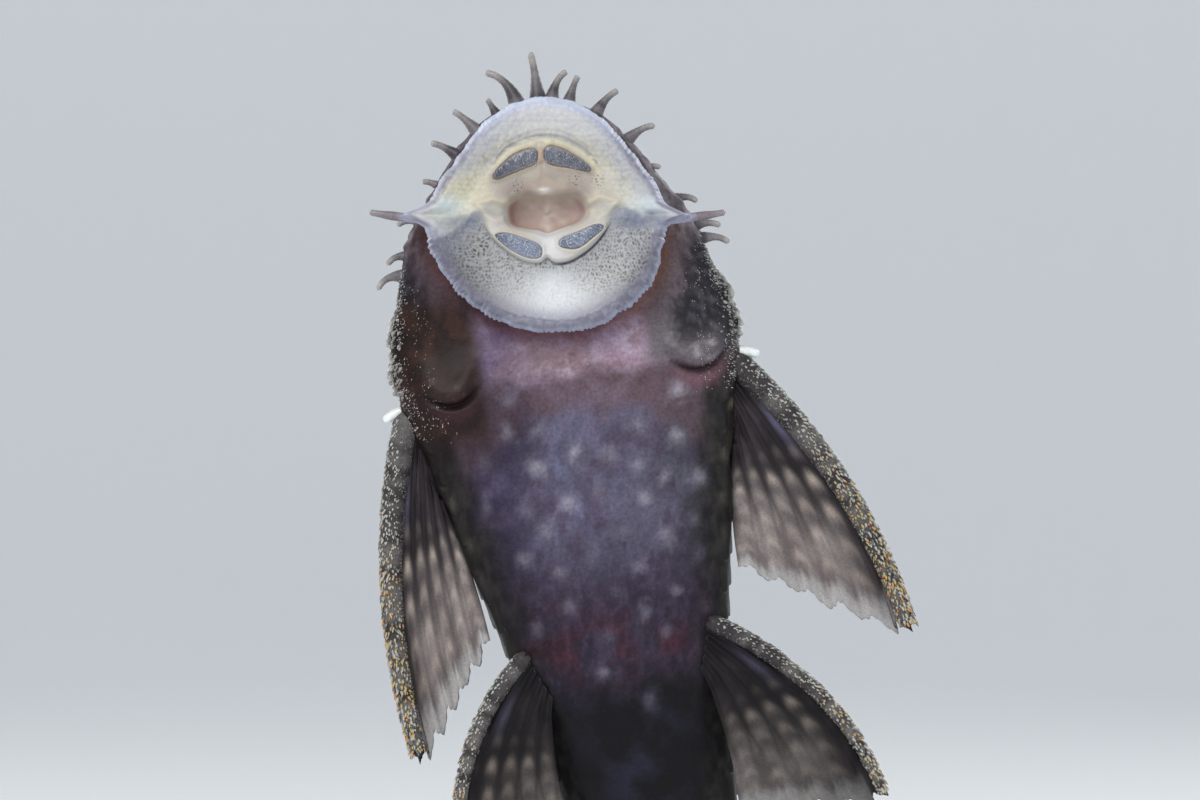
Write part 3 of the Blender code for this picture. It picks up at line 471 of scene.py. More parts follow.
def surface(name, roughness, grain_size, relief, grain=0.25, coat=0.0, subsurface=0.0, sheen=0.0, shine=0.5):
    """A material coloured by the tint attribute, with fine grain in its colour, gloss and relief."""
    made = bpy.data.materials.new(name)
    made.use_nodes = True
    nodes, links = made.node_tree.nodes, made.node_tree.links
    shader = nodes["Principled BSDF"]
    shader.inputs["Specular IOR Level"].default_value = shine
    shader.inputs["Coat Weight"].default_value = coat
    shader.inputs["Coat Roughness"].default_value = 0.18
    shader.inputs["Subsurface Weight"].default_value = subsurface
    shader.inputs["Subsurface Radius"].default_value = (1.0, 0.5, 0.35)
    shader.inputs["Subsurface Scale"].default_value = 0.6 * MM
    shader.inputs["Sheen Weight"].default_value = sheen
    shader.inputs["Sheen Roughness"].default_value = 0.35
    tint = nodes.new("ShaderNodeAttribute")
    tint.attribute_name = "tint"
    where = nodes.new("ShaderNodeTexCoord")
    noise = nodes.new("ShaderNodeTexNoise")
    noise.inputs["Scale"].default_value = 1 / (grain_size * MM)
    noise.inputs["Detail"].default_value = 3.0
    noise.inputs["Roughness"].default_value = 0.6
    links.new(where.outputs["Object"], noise.inputs["Vector"])
    brightness = nodes.new("ShaderNodeMapRange")
    brightness.inputs["From Min"].default_value = 0.3
    brightness.inputs["From Max"].default_value = 0.7
    brightness.inputs["To Min"].default_value = 1 - grain
    brightness.inputs["To Max"].default_value = 1 + grain
    links.new(noise.outputs["Fac"], brightness.inputs["Value"])
    shade = nodes.new("ShaderNodeVectorMath")
    shade.operation = "SCALE"
    links.new(tint.outputs["Color"], shade.inputs[0])
    links.new(brightness.outputs["Result"], shade.inputs["Scale"])
    links.new(shade.outputs["Vector"], shader.inputs["Base Color"])
    gloss = nodes.new("ShaderNodeMapRange")
    gloss.inputs["To Min"].default_value = roughness - 0.12
    gloss.inputs["To Max"].default_value = roughness + 0.12
    links.new(noise.outputs["Fac"], gloss.inputs["Value"])
    links.new(gloss.outputs["Result"], shader.inputs["Roughness"])
    bump = nodes.new("ShaderNodeBump")
    bump.inputs["Strength"].default_value = 0.6
    bump.inputs["Distance"].default_value = relief * MM
    links.new(noise.outputs["Fac"], bump.inputs["Height"])
    links.new(bump.outputs["Normal"], shader.inputs["Normal"])
    return made


def wood():
    """Dark walnut with long grain along X."""
    made = bpy.data.materials.new("walnut")
    made.use_nodes = True
    nodes, links = made.node_tree.nodes, made.node_tree.links
    shader = nodes["Principled BSDF"]
    shader.inputs["Coat Weight"].default_value = 0.35
    shader.inputs["Coat Roughness"].default_value = 0.22
    where = nodes.new("ShaderNodeTexCoord")
    stretch = nodes.new("ShaderNodeMapping")
    stretch.inputs["Scale"].default_value = (25.0, 330.0, 330.0)
    links.new(where.outputs["Object"], stretch.inputs["Vector"])
    noise = nodes.new("ShaderNodeTexNoise")
    noise.inputs["Scale"].default_value = 1.0
    noise.inputs["Detail"].default_value = 6.0
    noise.inputs["Distortion"].default_value = 0.8
    links.new(stretch.outputs["Vector"], noise.inputs["Vector"])
    colour = nodes.new("ShaderNodeValToRGB")
    colour.color_ramp.elements[0].position = 0.32
    colour.color_ramp.elements[0].color = (0.028, 0.014, 0.008, 1)
    colour.color_ramp.elements[1].position = 0.68
    colour.color_ramp.elements[1].color = (0.13, 0.068, 0.034, 1)
    links.new(noise.outputs["Fac"], colour.inputs["Fac"])
    links.new(colour.outputs["Color"], shader.inputs["Base Color"])
    gloss = nodes.new("ShaderNodeMapRange")
    gloss.inputs["To Min"].default_value = 0.35
    gloss.inputs["To Max"].default_value = 0.6
    links.new(noise.outputs["Fac"], gloss.inputs["Value"])
    links.new(gloss.outputs["Result"], shader.inputs["Roughness"])
    bump = nodes.new("ShaderNodeBump")
    bump.inputs["Strength"].default_value = 0.3
    bump.inputs["Distance"].default_value = 0.15 * MM
    links.new(noise.outputs["Fac"], bump.inputs["Height"])
    links.new(bump.outputs["Normal"], shader.inputs["Normal"])
    return made


def steel():
    """Brushed steel, with fine lines along the rod."""
    made = bpy.data.materials.new("brushed_steel")
    made.use_nodes = True
    nodes, links = made.node_tree.nodes, made.node_tree.links
    shader = nodes["Principled BSDF"]
    shader.inputs["Metallic"].default_value = 1.0
    shader.inputs["Base Color"].default_value = (0.52, 0.52, 0.53, 1)
    where = nodes.new("ShaderNodeTexCoord")
    stretch = nodes.new("ShaderNodeMapping")
    stretch.inputs["Scale"].default_value = (2500.0, 2500.0, 120.0)
    links.new(where.outputs["Object"], stretch.inputs["Vector"])
    noise = nodes.new("ShaderNodeTexNoise")
    noise.inputs["Scale"].default_value = 1.0
    noise.inputs["Detail"].default_value = 3.0
    links.new(stretch.outputs["Vector"], noise.inputs["Vector"])
    gloss = nodes.new("ShaderNodeMapRange")
    gloss.inputs["To Min"].default_value = 0.22
    gloss.inputs["To Max"].default_value = 0.46
    links.new(noise.outputs["Fac"], gloss.inputs["Value"])
    links.new(gloss.outputs["Result"], shader.inputs["Roughness"])
    bump = nodes.new("ShaderNodeBump")
    bump.inputs["Strength"].default_value = 0.15
    bump.inputs["Distance"].default_value = 0.05 * MM
    links.new(noise.outputs["Fac"], bump.inputs["Height"])
    links.new(bump.outputs["Normal"], shader.inputs["Normal"])
    return made


SKIN = surface("skin", 0.45, 0.3, 0.06, grain=0.22, coat=0.04, shine=0.1)
LIP = surface("lip", 0.45, 0.16, 0.03, grain=0.05, coat=0.06, subsurface=0.12, shine=0.25)
MEMBRANE = surface("fin_membrane", 0.45, 0.18, 0.03, grain=0.18, coat=0.04, sheen=0.05, shine=0.14)
BRISTLE = surface("bristle", 0.42, 0.12, 0.05, grain=0.36, coat=0.08, sheen=0.5, shine=0.3)
TOOTH = surface("tooth", 0.32, 0.12, 0.02, grain=0.12, coat=0.2)
ODONTODE = surface("odontode", 0.25, 0.3, 0.01, grain=0.1, coat=0.5)
EYE = surface("eye", 0.2, 0.3, 0.005, grain=0.12, coat=0.45, shine=0.2)


# Colours of the skin


def spot_shares(station, side):
    """How much of the belly's pale spots shows at a place."""
    share = np.zeros(np.shape(station))
    ragged = 1 + 0.5 * layered(station, side, 0.6, 5)
    for k, (spot_station, spot_side) in enumerate(BELLY_SPOTS):
        long, wide = 0.66 + 0.16 * math.sin(2.3 * k), 0.56 + 0.12 * math.cos(3.1 * k)
        slant = 0.2 * math.sin(4.1 * k) * (station - spot_station)
        away = np.hypot((station - spot_station) / long, (side - spot_side + slant) / wide) * ragged
        share = np.maximum(share, (0.62 + 0.38 * math.sin(1.7 * k)) * np.exp(-(away**2)))
    return share


def throat_tint(station, side):
    """Mauve, with lilac haze and fine pale specks."""
    tint = mix(srgb(152, 129, 145), srgb(175, 156, 180), step(layered(side, station, 3.5, 17), -0.6, 0.4))
    tint = mix(tint, srgb(192, 178, 203), 0.5 * step(layered(side, station * 1.4, 1.3, 14), -0.1, 0.8))
    tint = mix(tint, srgb(104, 78, 84), 0.45 * step(layered(side, station, 0.9, 15), 0.0, 0.8))
    tint = mix(tint, srgb(112, 92, 86), 0.7 * bell(side, -1.0, 3.2) * bell(station, 23.2, 1.3))
    tint = mix(tint, srgb(134, 120, 168), 0.5 * bell(side + 0.9 * (station - 22.0), -7.2, 1.5) * step(station, 17.0, 20.0))
    tint = mix(tint, srgb(102, 90, 96), 0.75 * step(side + 0.7 * layered(side, station, 2.4, 18), 6.0, 9.5))
    fine = step(layered(side, station, 0.5, 12), 0.1, 0.9)
    return mix(tint, srgb(190, 176, 188), 0.4 * fine * step(layered(side, station, 2.4, 13), -0.5, 0.5))


def belly_tint(station, side):
    """From the shoulder back: slate violet, then duller, with red patches, then nearly black."""
    tint = mix(srgb(86, 84, 102), srgb(62, 56, 78), step(-side, 1.0, 9.0))
    tint = mix(tint, srgb(100, 91, 114), 0.45 * step(layered(side, station, 1.5, 21), -0.1, 0.7))
    tint = mix(tint, srgb(74, 74, 82), 0.7 * step(side, 3.5, 8.5))
    tint = mix(tint, srgb(70, 58, 76), 0.65 * step(layered(side, station, 2.2, 25), -0.1, 0.6))
    tint = mix(tint, srgb(66, 50, 62), 0.5 * step(layered(side, station, 0.7, 26), 0.15, 0.8))
    strands = (1 - np.abs(cloud(side * 1.6 + station * 0.3, station * 0.5, 0.8, 27))) ** 3
    tint = mix(tint, srgb(124, 116, 146), 0.4 * strands * step(layered(side, station, 3.0, 28), -0.4, 0.5))
    low = mix(srgb(46, 40, 54), srgb(64, 55, 73), strands)
    low = mix(low, srgb(38, 31, 40), 0.6 * step(layered(side, station, 1.2, 30), 0.0, 0.7))
    tint = mix(tint, low, step(station, 36.0, 46.0))
    red = step(layered(side, station, 2.2, 29), -0.3, 0.5) * bell(station - 0.12 * side, 48.8, 3.2)
    tint = mix(tint, mix(srgb(58, 30, 38), srgb(74, 44, 56), strands), 0.85 * red)
    dark = mix(srgb(21, 20, 24), srgb(38, 37, 52), step(layered(side, station, 2.4, 32), -0.3, 0.7) * bell(side, 0, 4.5))
    tint = mix(tint, dark, step(station + 1.5 * layered(side, station, 2.5, 31), 49.5, 54.5))
    line = side + 1.4 - 0.8 * np.sin(0.35 * station) + 0.5 * layered(side, station, 1.5, 34)
    blue = bell(line, 0.0, 0.6) * step(station, 27, 30) * step(-station, -43, -36)
    return mix(tint, srgb(118, 126, 160), 0.4 * blue * (0.3 + 0.7 * strands))


def back_tint(points, head):
    """Black-brown, mottled, with small pale spots that are closer together on the head."""
    across, up = points[..., 0] + 0.8 * points[..., 1], points[..., 2]
    tint = mix(srgb(34, 32, 32), srgb(62, 56, 50), step(layered(up, across, 4.2, 33), -0.3, 0.7))
    tint = mix(tint, srgb(22, 20, 20), 0.5 * step(layered(up, across, 1.4, 35), 0.0, 0.8))
    for pitch, share, seed in ((2.4, 1 - head, 37), (1.7, head, 41)):
        near, _, value = grains(points, pitch, seed)
        spot = step(-near * pitch, -(0.42 + 0.3 * value), -0.22)
        tint = mix(tint, srgb(150, 141, 118), 0.65 * spot * share * (0.35 + 0.65 * value))
    return tint


def skin_tint(station, angle, sign):
    """The skin's colour at a station and an angle round the body on one side, with painted shade on the fish's right
    side, under the sucker and in the gill slits.
    """
    side, height = section(station, angle)
    around = angle * np.maximum(half_width(station), 5.0) / 57.3
    width = side
    side = side * sign
    points = place(station, side, height)
    across, ahead = disc_place(points)
    beyond = np.hypot(across, ahead) - smooth(RIM_RADIUS, np.degrees(np.arctan2(ahead, across)))
    tint = throat_tint(station, side)
    girdle = mix(srgb(78, 61, 68), srgb(66, 52, 48), step(layered(side, station, 2.8, 45), -0.1, 0.6) * bell(side, 0, 7))
    girdle = mix(girdle, srgb(98, 82, 96), 0.6 * step(layered(side, station, 1.2, 46), 0.0, 0.8))
    tint = mix(tint, girdle, 0.85 * step(station + 0.5 * cloud(side, station, 2.0, 47), 23.4, 25.4))
    belly_start = 27.3 + 0.042 * side**2 + 1.3 * layered(side, station, 2.6, 49)
    tint = mix(tint, belly_tint(station, side), step(station, belly_start - 1.4, belly_start + 1.6))
    spots = spot_shares(station, side) * step(-angle, -75.0, -55.0)
    pale = mix(srgb(160, 156, 168), srgb(108, 102, 118), step(station, 33.0, 46.0))
    tint = mix(tint, pale, 0.8 * spots)
    back = back_tint(points, step(-station, -26.0, -22.0))
    edge = 50.0 + 12.0 * layered(station, around, 2.2, 51)
    flank_dark = mix(srgb(26, 25, 25), srgb(50, 47, 46), step(layered(station, around, 1.1, 52), -0.5, 0.7))
    flecks = spot_shares(station + 1.3, width * 1.4 - 7.0) * step(angle, 40.0, 60.0)
    flank_dark = mix(flank_dark, srgb(104, 98, 92), 0.6 * flecks)
    tint = mix(tint, flank_dark, step(angle, edge - 34.0, edge + 4.0) * step(station, 22.0, 29.0))
    tint = mix(tint, back, step(angle, edge + 12.0, edge + 34.0) * step(station, 16.0, 27.0))
    start = 11.6 - 0.4 * np.clip(station - 14.7, 0.0, 6.0) + 0.5 * layered(station, around, 1.5, 53)
    cheek = step(width, start - 3.2, start - 0.8) + step(-station, -12.0, -8.0)
    cheek = np.clip(cheek, 0.0, 1.0) * step(-station, -26.0, -23.5) * step(-angle, -112.0, -92.0)
    streaks = cloud(width * 1.8 - 0.8 * station, station * 0.5 + width * 0.3, 0.5, 57)
    charcoal = step(width + 0.8 * streaks, start - 0.6, start + 1.2)
    tone = mix(srgb(100, 93, 100), srgb(41, 40, 44), charcoal)
    tone = mix(tone, srgb(88, 84, 94), 0.6 * step(streaks + 0.5 * layered(side, station, 1.2, 55), 0.0, 1.1))
    clump = bell(station, 20.8, 3.0) * bell(angle, 90.0, 12.0)
    tone = mix(tone, srgb(16, 15, 17), 0.8 * clump * step(layered(station, around, 0.9, 58), -0.3, 0.3))
    fleshy = mix(srgb(78, 72, 78), srgb(124, 116, 121), step(layered(around, station, 1.1, 56), -0.5, 0.6))
    tone = mix(tone, fleshy, step(-station, -15.0, -12.0))
    tint = mix(tint, tone, cheek)
    # Painted shade: the fish's right side of the throat and belly is darkened, and the left side of the belly behind
    # the shoulder a little.
    shade = step(-side, 1.5, 5.5) * step(-station, -34.0, -28.0) + 0.6 * step(-side, 3.5, 8.0) * step(station, 28.0, 34.0)
    tint = tint * (1 - shade[..., None] * (0.52, 0.54, 0.5))
    tint = tint * (1 - 0.15 * step(side, 4.0, 8.0) * step(station, 30.0, 34.0))[..., None]
    # The throat's red-brown band along the sucker's lower edge, with the sucker's shadow painted into it, darker on the
    # fish's right as painted shade.
    brick_and_shadow = mix(srgb(118, 76, 80), srgb(130, 86, 68), step(across, 4.0, 8.0))
    brick_and_shadow = mix(brick_and_shadow, srgb(88, 50, 44), step(-across, 2.0, 6.0))
    near_disc = bell(beyond, 0.0, 0.8) + 0.25 * bell(beyond, 1.0, 1.4)
    tint = mix(tint, brick_and_shadow, 0.75 * np.minimum(near_disc, 1.0) * step(-ahead, -1.0, 2.0))
    # Dark red-brown along the fish's right side of the throat: its own colour, darkened with painted shade.
    right_side = step(-side, 6.7, 8.5) * step(-station, -31.0, -27.0) * step(station, 15.0, 18.0)
    red_brown_and_shade = mix(srgb(34, 23, 21), srgb(56, 37, 30), step(layered(side, station, 1.3, 60), -0.3, 0.7))
    tint = mix(tint, red_brown_and_shade, 0.92 * right_side)
    tint = mix(tint, back, step(angle, 92.0, 112.0))
    phase = ((station - plate_edge(angle)[1] - PLATE_START) / PLATE_PITCH) % 1.0
    plated = step(angle, 80.0, 100.0) * step(station, 26.0, 29.0)
    tint = mix(tint, srgb(88, 80, 70), 0.35 * plated * bell(phase, 0.86, 0.07))
    tint = mix(tint, srgb(12, 11, 11), 0.5 * plated * step(np.abs(phase - 0.5), 0.42, 0.48))
    slit_station, slit_side = GILL_SLITS[sign]
    behind = station - slit_station + 0.21 * (width - slit_side) ** 2
    window = np.exp(-(((width - slit_side) / 2.2) ** 4)) * step(-angle, -80.0, -60.0)
    flap = window * np.exp(-(((behind + 1.5) / 1.2) ** 2))
    grey = mix(srgb(106, 99, 105), srgb(162, 154, 162), step(layered(side, station, 0.7, 59), -0.2, 0.8))
    # On the fish's right the flap is dark red-brown, darkened with painted shade.
    grey = grey if sign > 0 else grey * (0.22, 0.16, 0.13)
    tint = mix(tint, grey, 0.8 * flap)
    # Painted shadow: a dark line down in the gill slit.
    tint = mix(tint, srgb(20, 14, 15), window * np.exp(-(((behind - 0.12) / 0.26) ** 2)))
    # Pink behind the slit, darker on the fish's right as painted shade.
    behind_slit = srgb(128, 88, 100) if sign > 0 else srgb(66, 42, 44)
    return mix(tint, behind_slit, 0.5 * window * np.exp(-(((behind - 1.1) / 0.7) ** 2)))


# Skin


def plate_edge(angle):
    """(out, slip, share) of the plates at an angle: rise and rearward point of the rear edge, and share of the row."""
    row = np.clip(np.searchsorted(ROW_EDGES, angle, side="right") - 1, 0, len(ROW_EDGES) - 2)
    share = (angle - ROW_EDGES[row]) / (ROW_EDGES[row + 1] - ROW_EDGES[row])
    inside = (share > 0) & (share < 1)
    bulge = np.where(inside, np.sin(math.pi * np.clip(share, 0, 1)), 0.0)
    return np.where(inside, PLATE_RISE * (0.35 + 0.65 * bulge), 0.0), PLATE_POINT * bulge, np.clip(share, 0, 1)


def plate_relief(row_station, angle):
    """Overlapping plates: each rises to its rear edge, has a low keel and meets the next row in a groove."""
    out, _, share = plate_edge(angle)
    phase = ((row_station - PLATE_START) / PLATE_PITCH + 1e-6) % 1.0
    ramp = 0.25 + 0.75 * phase**0.8
    ramp = ramp * step(-phase, -1.0, -0.955)
    keel = 0.16 * bell(share, 0.5, 0.13) * step(phase, 0.1, 0.7) * step(-phase, -1.0, -0.93)
    bones = step(row_station, 25.0, 27.6) * step(-row_station, -94.9, -94.0) * (0.45 + 0.55 * step(angle, 82.0, 108.0))
    return (out * ramp + np.where(out > 0, keel, 0.0)) * bones


def eye_relief(points):
    """The raised rim round each eye, and the skin sunk under the eyeball."""
    out = np.zeros(points.shape[:-1])
    for sign in (1, -1):
        away = np.linalg.norm(points - on_skin(EYE_STATION, EYE_ANGLE, sign), axis=-1)
        out += 0.38 * bell(away, 2.75, 0.55) - 1.5 * step(-away, -2.45, -1.9)
        out += 0.18 * bell(away, 3.9, 0.5)
    return out


def nostril_relief(points):
    """Two pits on each side of the snout, with a flap of skin between them."""
    out = np.zeros(points.shape[:-1])
    for sign in (1, -1):
        for step_back, turn, deep, wide in ((0.0, 0.0, -0.9, 0.5), (1.5, -2.0, -0.8, 0.48), (0.8, -1.0, 1.15, 0.3)):
            centre = on_skin(NOSTRIL_STATION + step_back, NOSTRIL_ANGLE + turn, sign)
            away = np.linalg.norm(points - centre, axis=-1)
            out += deep * np.exp(-((away / wide) ** 2.6)) + 0.2 * bell(away, 1.1, 0.3) * (deep < 0)
    return out


def gill_relief(station, angle, width, sign):
    """The gill cover's rear edge: a bulge, then a sharp step down into the slit."""
    slit_station, slit_side = GILL_SLITS[sign]
    behind = station - slit_station + 0.21 * (width - slit_side) ** 2
    window = np.exp(-(((width - slit_side) / 2.3) ** 4)) * (angle < 75)
    bulge = 0.75 * np.exp(-(((behind + 0.9) / 1.5) ** 2)) * step(-behind, -0.12, 0.1)
    return window * (bulge - 0.5 * np.exp(-(((behind - 0.25) / 0.28) ** 2)))


def fin_base_relief(points, roots):
    """Skin drawn up round the foot of a fin."""
    line = place(*np.array(roots, float).T)
    away = np.min([np.linalg.norm(points - p, axis=-1) for p in line], axis=0)
    return 0.75 * np.exp(-((away / 1.7) ** 2))


def skin_relief(station, row_station, angle, sign):
    """How far the skin stands out from the plain body."""
    width, _ = section(station, angle)
    points = on_skin(station, angle, sign)
    around = angle * np.maximum(half_width(station), 5.0) / 57.3
    out = plate_relief(row_station, angle)
    head = step(-station, -27.0, -24.0)
    smooth_part = step(-angle, -62.0, -46.0)
    out += 0.045 * layered(width * sign, station, 1.3, 71) * smooth_part
    near, following, value = grains(points, 4.6, 73)
    bone = step(angle, 100.0, 118.0) * head * step(station, 5.0, 8.0)
    seams = bell(following - near, 0.0, 0.06)
    out += bone * (-0.12 * seams + 0.1 * value * (1 - seams))
    near, _, value = grains(points, 0.75, 61)
    knobs = bell(near, 0.0, 0.35) * (0.4 + 0.6 * value) * step(angle, 42.0, 70.0) * step(station, 7.0, 14.0) * head
    out += 0.12 * knobs
    near, _, value = grains(points, 1.5, 67)
    fleshy = np.exp(-(((angle - 92.0) / 28.0) ** 4)) * step(-station, -15.0, -12.0) * step(station, 0.5, 2.0)
    out += 0.42 * bell(near, 0.0, 0.34) * (0.4 + 0.6 * value) * fleshy
    out += 0.4 * bell(station, 36.5, 6.0) * bell(angle, 78.0, 20.0)
    cheek = np.exp(-(((station - CHEEK_STATION) / 3.2) ** 4)) * np.exp(-(((angle - CHEEK_ANGLE) / 19.0) ** 4))
    out += cheek * (0.55 + 0.3 * layered(station, around, 1.2, 77))
    out += gill_relief(station, angle, width, sign)
    out += eye_relief(points) + nostril_relief(points)
    for roots in FIN_ROOTS[sign]:
        out += fin_base_relief(points, roots)
    return out


def ring_angles(stations, count):
    """For each station, angles from mid-belly to mid-back that divide the ring evenly by length."""
    even = np.linspace(0.0, 1.0, 160)
    low = np.degrees(np.concatenate([np.arcsin(even**2.2), np.arccos(even**2.2)]))
    fine = np.unique(np.concatenate([low, np.linspace(90, 180, 300)]))
    side, height = section(stations[:, None], fine[None])
    lengths = np.hypot(np.diff(side, axis=1), np.diff(height, axis=1))
    lengths = np.concatenate([np.zeros((len(stations), 1)), np.cumsum(lengths, axis=1)], axis=1)
    shares = np.linspace(0.0, 1.0, count)
    return np.array([np.interp(shares * length[-1], length, fine) for length in lengths])


HALF_COLUMNS = 132
HEAD_ROWS = 175
SKIN_ROWS = np.concatenate([
    PLATE_START * np.linspace(0.012, 1.0, HEAD_ROWS, endpoint=False) ** 1.4,
    [PLATE_START + PLATE_PITCH * (k + phase) for k in range(25) for phase in PLATE_PHASES],
])
SKIN_ROWS = np.append(SKIN_ROWS[SKIN_ROWS < STANDARD_LENGTH - 0.05], STANDARD_LENGTH)
SKIN_ANGLES = ring_angles(SKIN_ROWS, HALF_COLUMNS)


def slipped(row_station, angle):
    """The station of a row at an angle: rows follow the plates' curved rear edges."""
    return row_station + plate_edge(angle)[1] * step(row_station, 23.5, 27.5) * step(-row_station, -94.5, -91.0)


def skin_place(station, angle, sign):
    """Place in the skin's unwrap of a station and an angle."""
    rows = np.clip(np.searchsorted(SKIN_ROWS, station), 0, len(SKIN_ROWS) - 1)
    shares = np.linspace(0.0, 1.0, HALF_COLUMNS)
    share = np.array([np.interp(a, SKIN_ANGLES[row], shares) for row, a in zip(rows, angle)])
    return np.stack([np.where(sign > 0, share / 2, 1 - share / 2), station / STANDARD_LENGTH], -1)


def build_skin():
    """One skin from the snout to the root of the tail fin."""
    halves, tints = [], []
    for sign in (1, -1):
        rows = np.broadcast_to(SKIN_ROWS[:, None], SKIN_ANGLES.shape)
        stations = slipped(rows, SKIN_ANGLES)
        out = skin_relief(stations, rows, SKIN_ANGLES, sign)
        halves.append(on_skin(stations, SKIN_ANGLES, sign, out))
        tints.append(skin_tint(stations, SKIN_ANGLES, sign))
    rings = np.concatenate([halves[0], halves[1][:, -2:0:-1]], axis=1)
    tint = np.concatenate([tints[0], tints[1][:, -2:0:-1]], axis=1).reshape(-1, 3)
    tip = place(0.0, 0.0, SNOUT_TIP_HEIGHT)
    end = place(STANDARD_LENGTH, 0.0, float(smooth(WIDEST_HEIGHT, STANDARD_LENGTH)))
    points, faces, unwraps = closed_grid(rings, tip, end)
    tint = np.concatenate([tint, tint[:1], tint[-1:]])
    covered = ("head", "trunk", "tail", "gill_flap_left", "gill_flap_right")
    piece("skin", points, tint, faces, unwraps, SKIN, covered)


def odontode_tint(station, angle, sign, rings, pale):
    """The skin's own colour at the root, paler to the tip."""
    root = np.empty((len(station), 3))
    for hand in (1, -1):
        mine = sign == hand
        root[mine] = skin_tint(station[mine], angle[mine], hand)
    share = np.linspace(0.15, 1.0, rings)[None, :, None] * pale[:, None, None]
    return root[:, None] * (1 - share) + srgb(186, 176, 156) * share


def build_odontodes():
    """Small hooked spines along the rear edge and the keel of each plate."""
    rng = np.random.default_rng(3)
    stations, angles, signs, sizes = [], [], [], []
    for sign in (1, -1):
        for low, high in zip(ROW_EDGES, ROW_EDGES[1:]):
            for k in range(24):
                edge = PLATE_START + PLATE_PITCH * (k + 0.9)
                for back, count, size in ((0.0, 13, 1.0), (0.9, 9, 0.65), (1.7, 7, 0.55)):
                    share = (np.arange(count) + 0.5 + rng.uniform(-0.25, 0.25, count)) / count
                    stations.append(edge - back + rng.uniform(-0.12, 0.12, count))
                    angles.append(low + (high - low) * share)
                    signs.append(np.full(count, sign))
                    sizes.append(size * rng.uniform(0.75, 1.2, count))
    rows, angle, sign, size = (np.concatenate(v) for v in (stations, angles, signs, sizes))
    station = slipped(rows, angle)
    out = plate_relief(rows, angle)
    length = 0.4 * size * np.clip((100.0 - station) / 50.0, 0.55, 1.0) * (0.55 + 0.45 * step(angle, 85.0, 120.0))
    steps = np.linspace(0.0, 1.0, 4)
    path = []
    for share in steps:
        lift = out - 0.1 + length * (0.55 * share - 0.12 * share**2)
        side, height = section(station, angle, lift)
        path.append(place(station + length * 0.8 * share, sign * side, height))
    paths = np.stack(path, axis=1)
    radii = 0.075 * (size**0.5)[:, None] * np.array([1.0, 0.8, 0.45])
    pale = rng.uniform(0.15, 0.65, len(station)) * (0.35 + 0.65 * step(angle, 80.0, 115.0))
    tint = odontode_tint(station, angle, sign, 3, pale)
    for hand, name in ((1, "left"), (-1, "right")):
        mine = sign == hand
        where = skin_place(station[mine], angle[mine], sign[mine])
        horn_piece(f"body_odontodes_{name}", paths[mine], radii[mine], 5, tint[mine], where, ODONTODE)


# Sucker


def cup_lines(cup, side):
    """The middle line of a tooth cup and its half width, at these places to the side."""
    table = np.array(cup)
    top, bottom = smooth(table[:, :2], side), smooth(table[:, ::2], side)
    share = (side - table[0, 0]) / (table[-1, 0] - table[0, 0])
    rounded = np.clip(1 - np.abs(2 * np.clip(share, 0, 1) - 1) ** 9, 0.0, 1.0) ** 0.5
    return (top + bottom) / 2, (top - bottom) / 2 * rounded


def cup_edge(cup, side, ahead):
    """About the distance from a tooth cup's edge, less than zero inside it."""
    middle, half = cup_lines(cup, np.clip(side, cup[0][0] + 0.05, cup[-1][0] - 0.05))
    beyond = np.maximum(cup[0][0] - side, side - cup[-1][0])
    away = np.abs(ahead - middle) - half
    return np.where((beyond > 0) & (away > 0), np.hypot(beyond, away), np.maximum(away, beyond))


